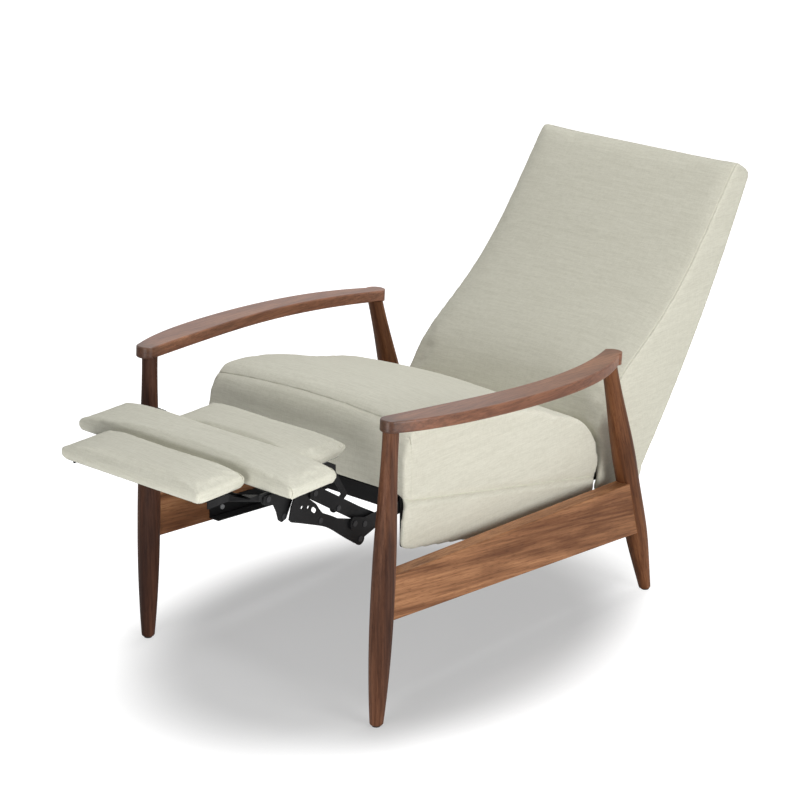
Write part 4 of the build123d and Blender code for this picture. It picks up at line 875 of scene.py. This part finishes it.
# Outer pad's arms
# Flat steel straps, joggled inwards past the middle pad so that their feet lie under the outer
# pad's board. Each is the straight strap of the frame, cut at two depths and bent between them.
joggle = 0.046
joggle_start = -0.664
joggle_end = -0.700
for side, way in (("left", 1.0), ("right", -1.0)):
    bpy.ops.object.select_all(action="DESELECT")
    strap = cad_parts[f"outer_arm_{side}"].copy()
    strap.data = strap.data.copy()
    strap.name = f"joggled_arm_{side}"
    bpy.context.scene.collection.objects.link(strap)
    bpy.context.view_layer.objects.active = strap
    strap.select_set(True)
    bpy.ops.object.mode_set(mode="EDIT")
    bpy.ops.mesh.select_all(action="SELECT")
    bpy.ops.mesh.remove_doubles(threshold=weld)
    for y in (joggle_start, joggle_end):
        bpy.ops.mesh.select_all(action="SELECT")
        bpy.ops.mesh.bisect(plane_co=(0.0, y, 0.0), plane_no=(0.0, 1.0, 0.0))
    bpy.ops.mesh.select_all(action="DESELECT")
    bpy.ops.object.mode_set(mode="OBJECT")
    for vertex in strap.data.vertices:
        vertex.select = vertex.co.y < joggle_end + 0.0005
    bpy.ops.object.mode_set(mode="EDIT")
    bpy.ops.mesh.select_mode(type="VERT")
    bpy.ops.transform.translate(value=(-way * joggle, 0.0, 0.0))
    bpy.ops.mesh.select_all(action="SELECT")
    bpy.ops.mesh.normals_make_consistent(inside=False)
    bpy.ops.object.mode_set(mode="OBJECT")
    bpy.ops.object.shade_smooth_by_angle(angle=math.radians(30))
    strap.data.materials.clear()
    strap.data.materials.append(black_coat)
    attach(strap, "outer_rest")
    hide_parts(f"outer_arm_{side}")


# Leg-rest pads
# Three foam pads stapled over plywood boards: a narrow one by the seat, the wide middle one and
# a narrow outer one. Boxed covers, sewn at the corners, with black cambric underneath.
def rest_pad(name, body, pad, board, lift, droop, deeper=0.0):
    """One pad: foam on a board, fullest in the middle, its cover blown up and sewn at the corners.

    lift is how far its middle is raised, droop how far its ends fall, deeper how far its rear edge
    is moved back.
    """
    hem = 0.005
    bulge = 0.0025
    top_skin = 0.012
    edge_room = 0.0008
    top_room = 0.0017
    low, high = (Vector(corner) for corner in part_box(pad))
    floor_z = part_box(board)[0][2]
    block = gather(name, pad, board)
    middle = (low.y + high.y) / 2.0
    for vertex in block.data.vertices:
        place = vertex.co
        rise = share(place.z - low.z, high.z - low.z - hem)
        across, along = abs(place.x) / high.x, abs(place.y - middle) / (high.y - middle)
        place.y += deeper * max(0.0, (place.y - middle) / (high.y - middle)) * min(1.0, rise * 4.0)
        place.z += rise * (lift * (1.0 - 0.3 * along ** 4) - (lift + droop) * across ** 5)
        place.x += math.copysign(bulge * rise * (1.0 - along ** 2), place.x) * across ** 8

    def swell(places):
        """A little on the top face, hardly any on the ends and sides."""
        top = np.clip((places[:, 2] - (high.z - top_skin)) / 0.006, 0.0, 1.0)
        return edge_room + top_room * top

    plump(block, voxel=0.0036, room=swell, held=lambda place: place.z < floor_z + 0.0025)
    for way in (1, -1):
        end = way * high.x
        near, far = sorted((end - way * 0.012, end + way * 0.02))
        for y in (low.y + 0.0042, high.y - 0.0042):
            sew(block, (0.0, y, 0.0), (0.0, 1.0, 0.0), (near, -2.0, floor_z + 0.004),
                (far, 2.0, 1.0), (way, 0.0, 0.0), sink=0.0014, half=0.0011, pull=0.0004)
    sew(block, (0.0, high.y + deeper - 0.0065, 0.0), (0.0, 1.0, 0.0), (-2.0, -2.0, low.z + 0.006),
        (2.0, 2.0, 1.0), (0.0, 0.0, 1.0), sink=0.0020, half=0.0013, pull=0.0006)
    cover(block, body, 0.95, oat_linen, pad, board)
    block.data.materials.append(cambric)
    for face in block.data.polygons:
        if face.normal.z < -0.7 and face.center.z < floor_z + 0.003:
            face.material_index = 1


rest_pad("inner_rest_pad", "inner_rest", "inner_pad", "inner_pad_board", lift=0.009, droop=-0.004,
         deeper=0.012)
rest_pad("middle_rest_pad", "ottoman", "middle_pad", "middle_pad_board", lift=0.0085, droop=0.002)
rest_pad("outer_rest_pad", "outer_rest", "outer_pad", "outer_pad_board", lift=0.003, droop=0.005)

bpy.context.scene.view_settings.view_transform = "Standard"
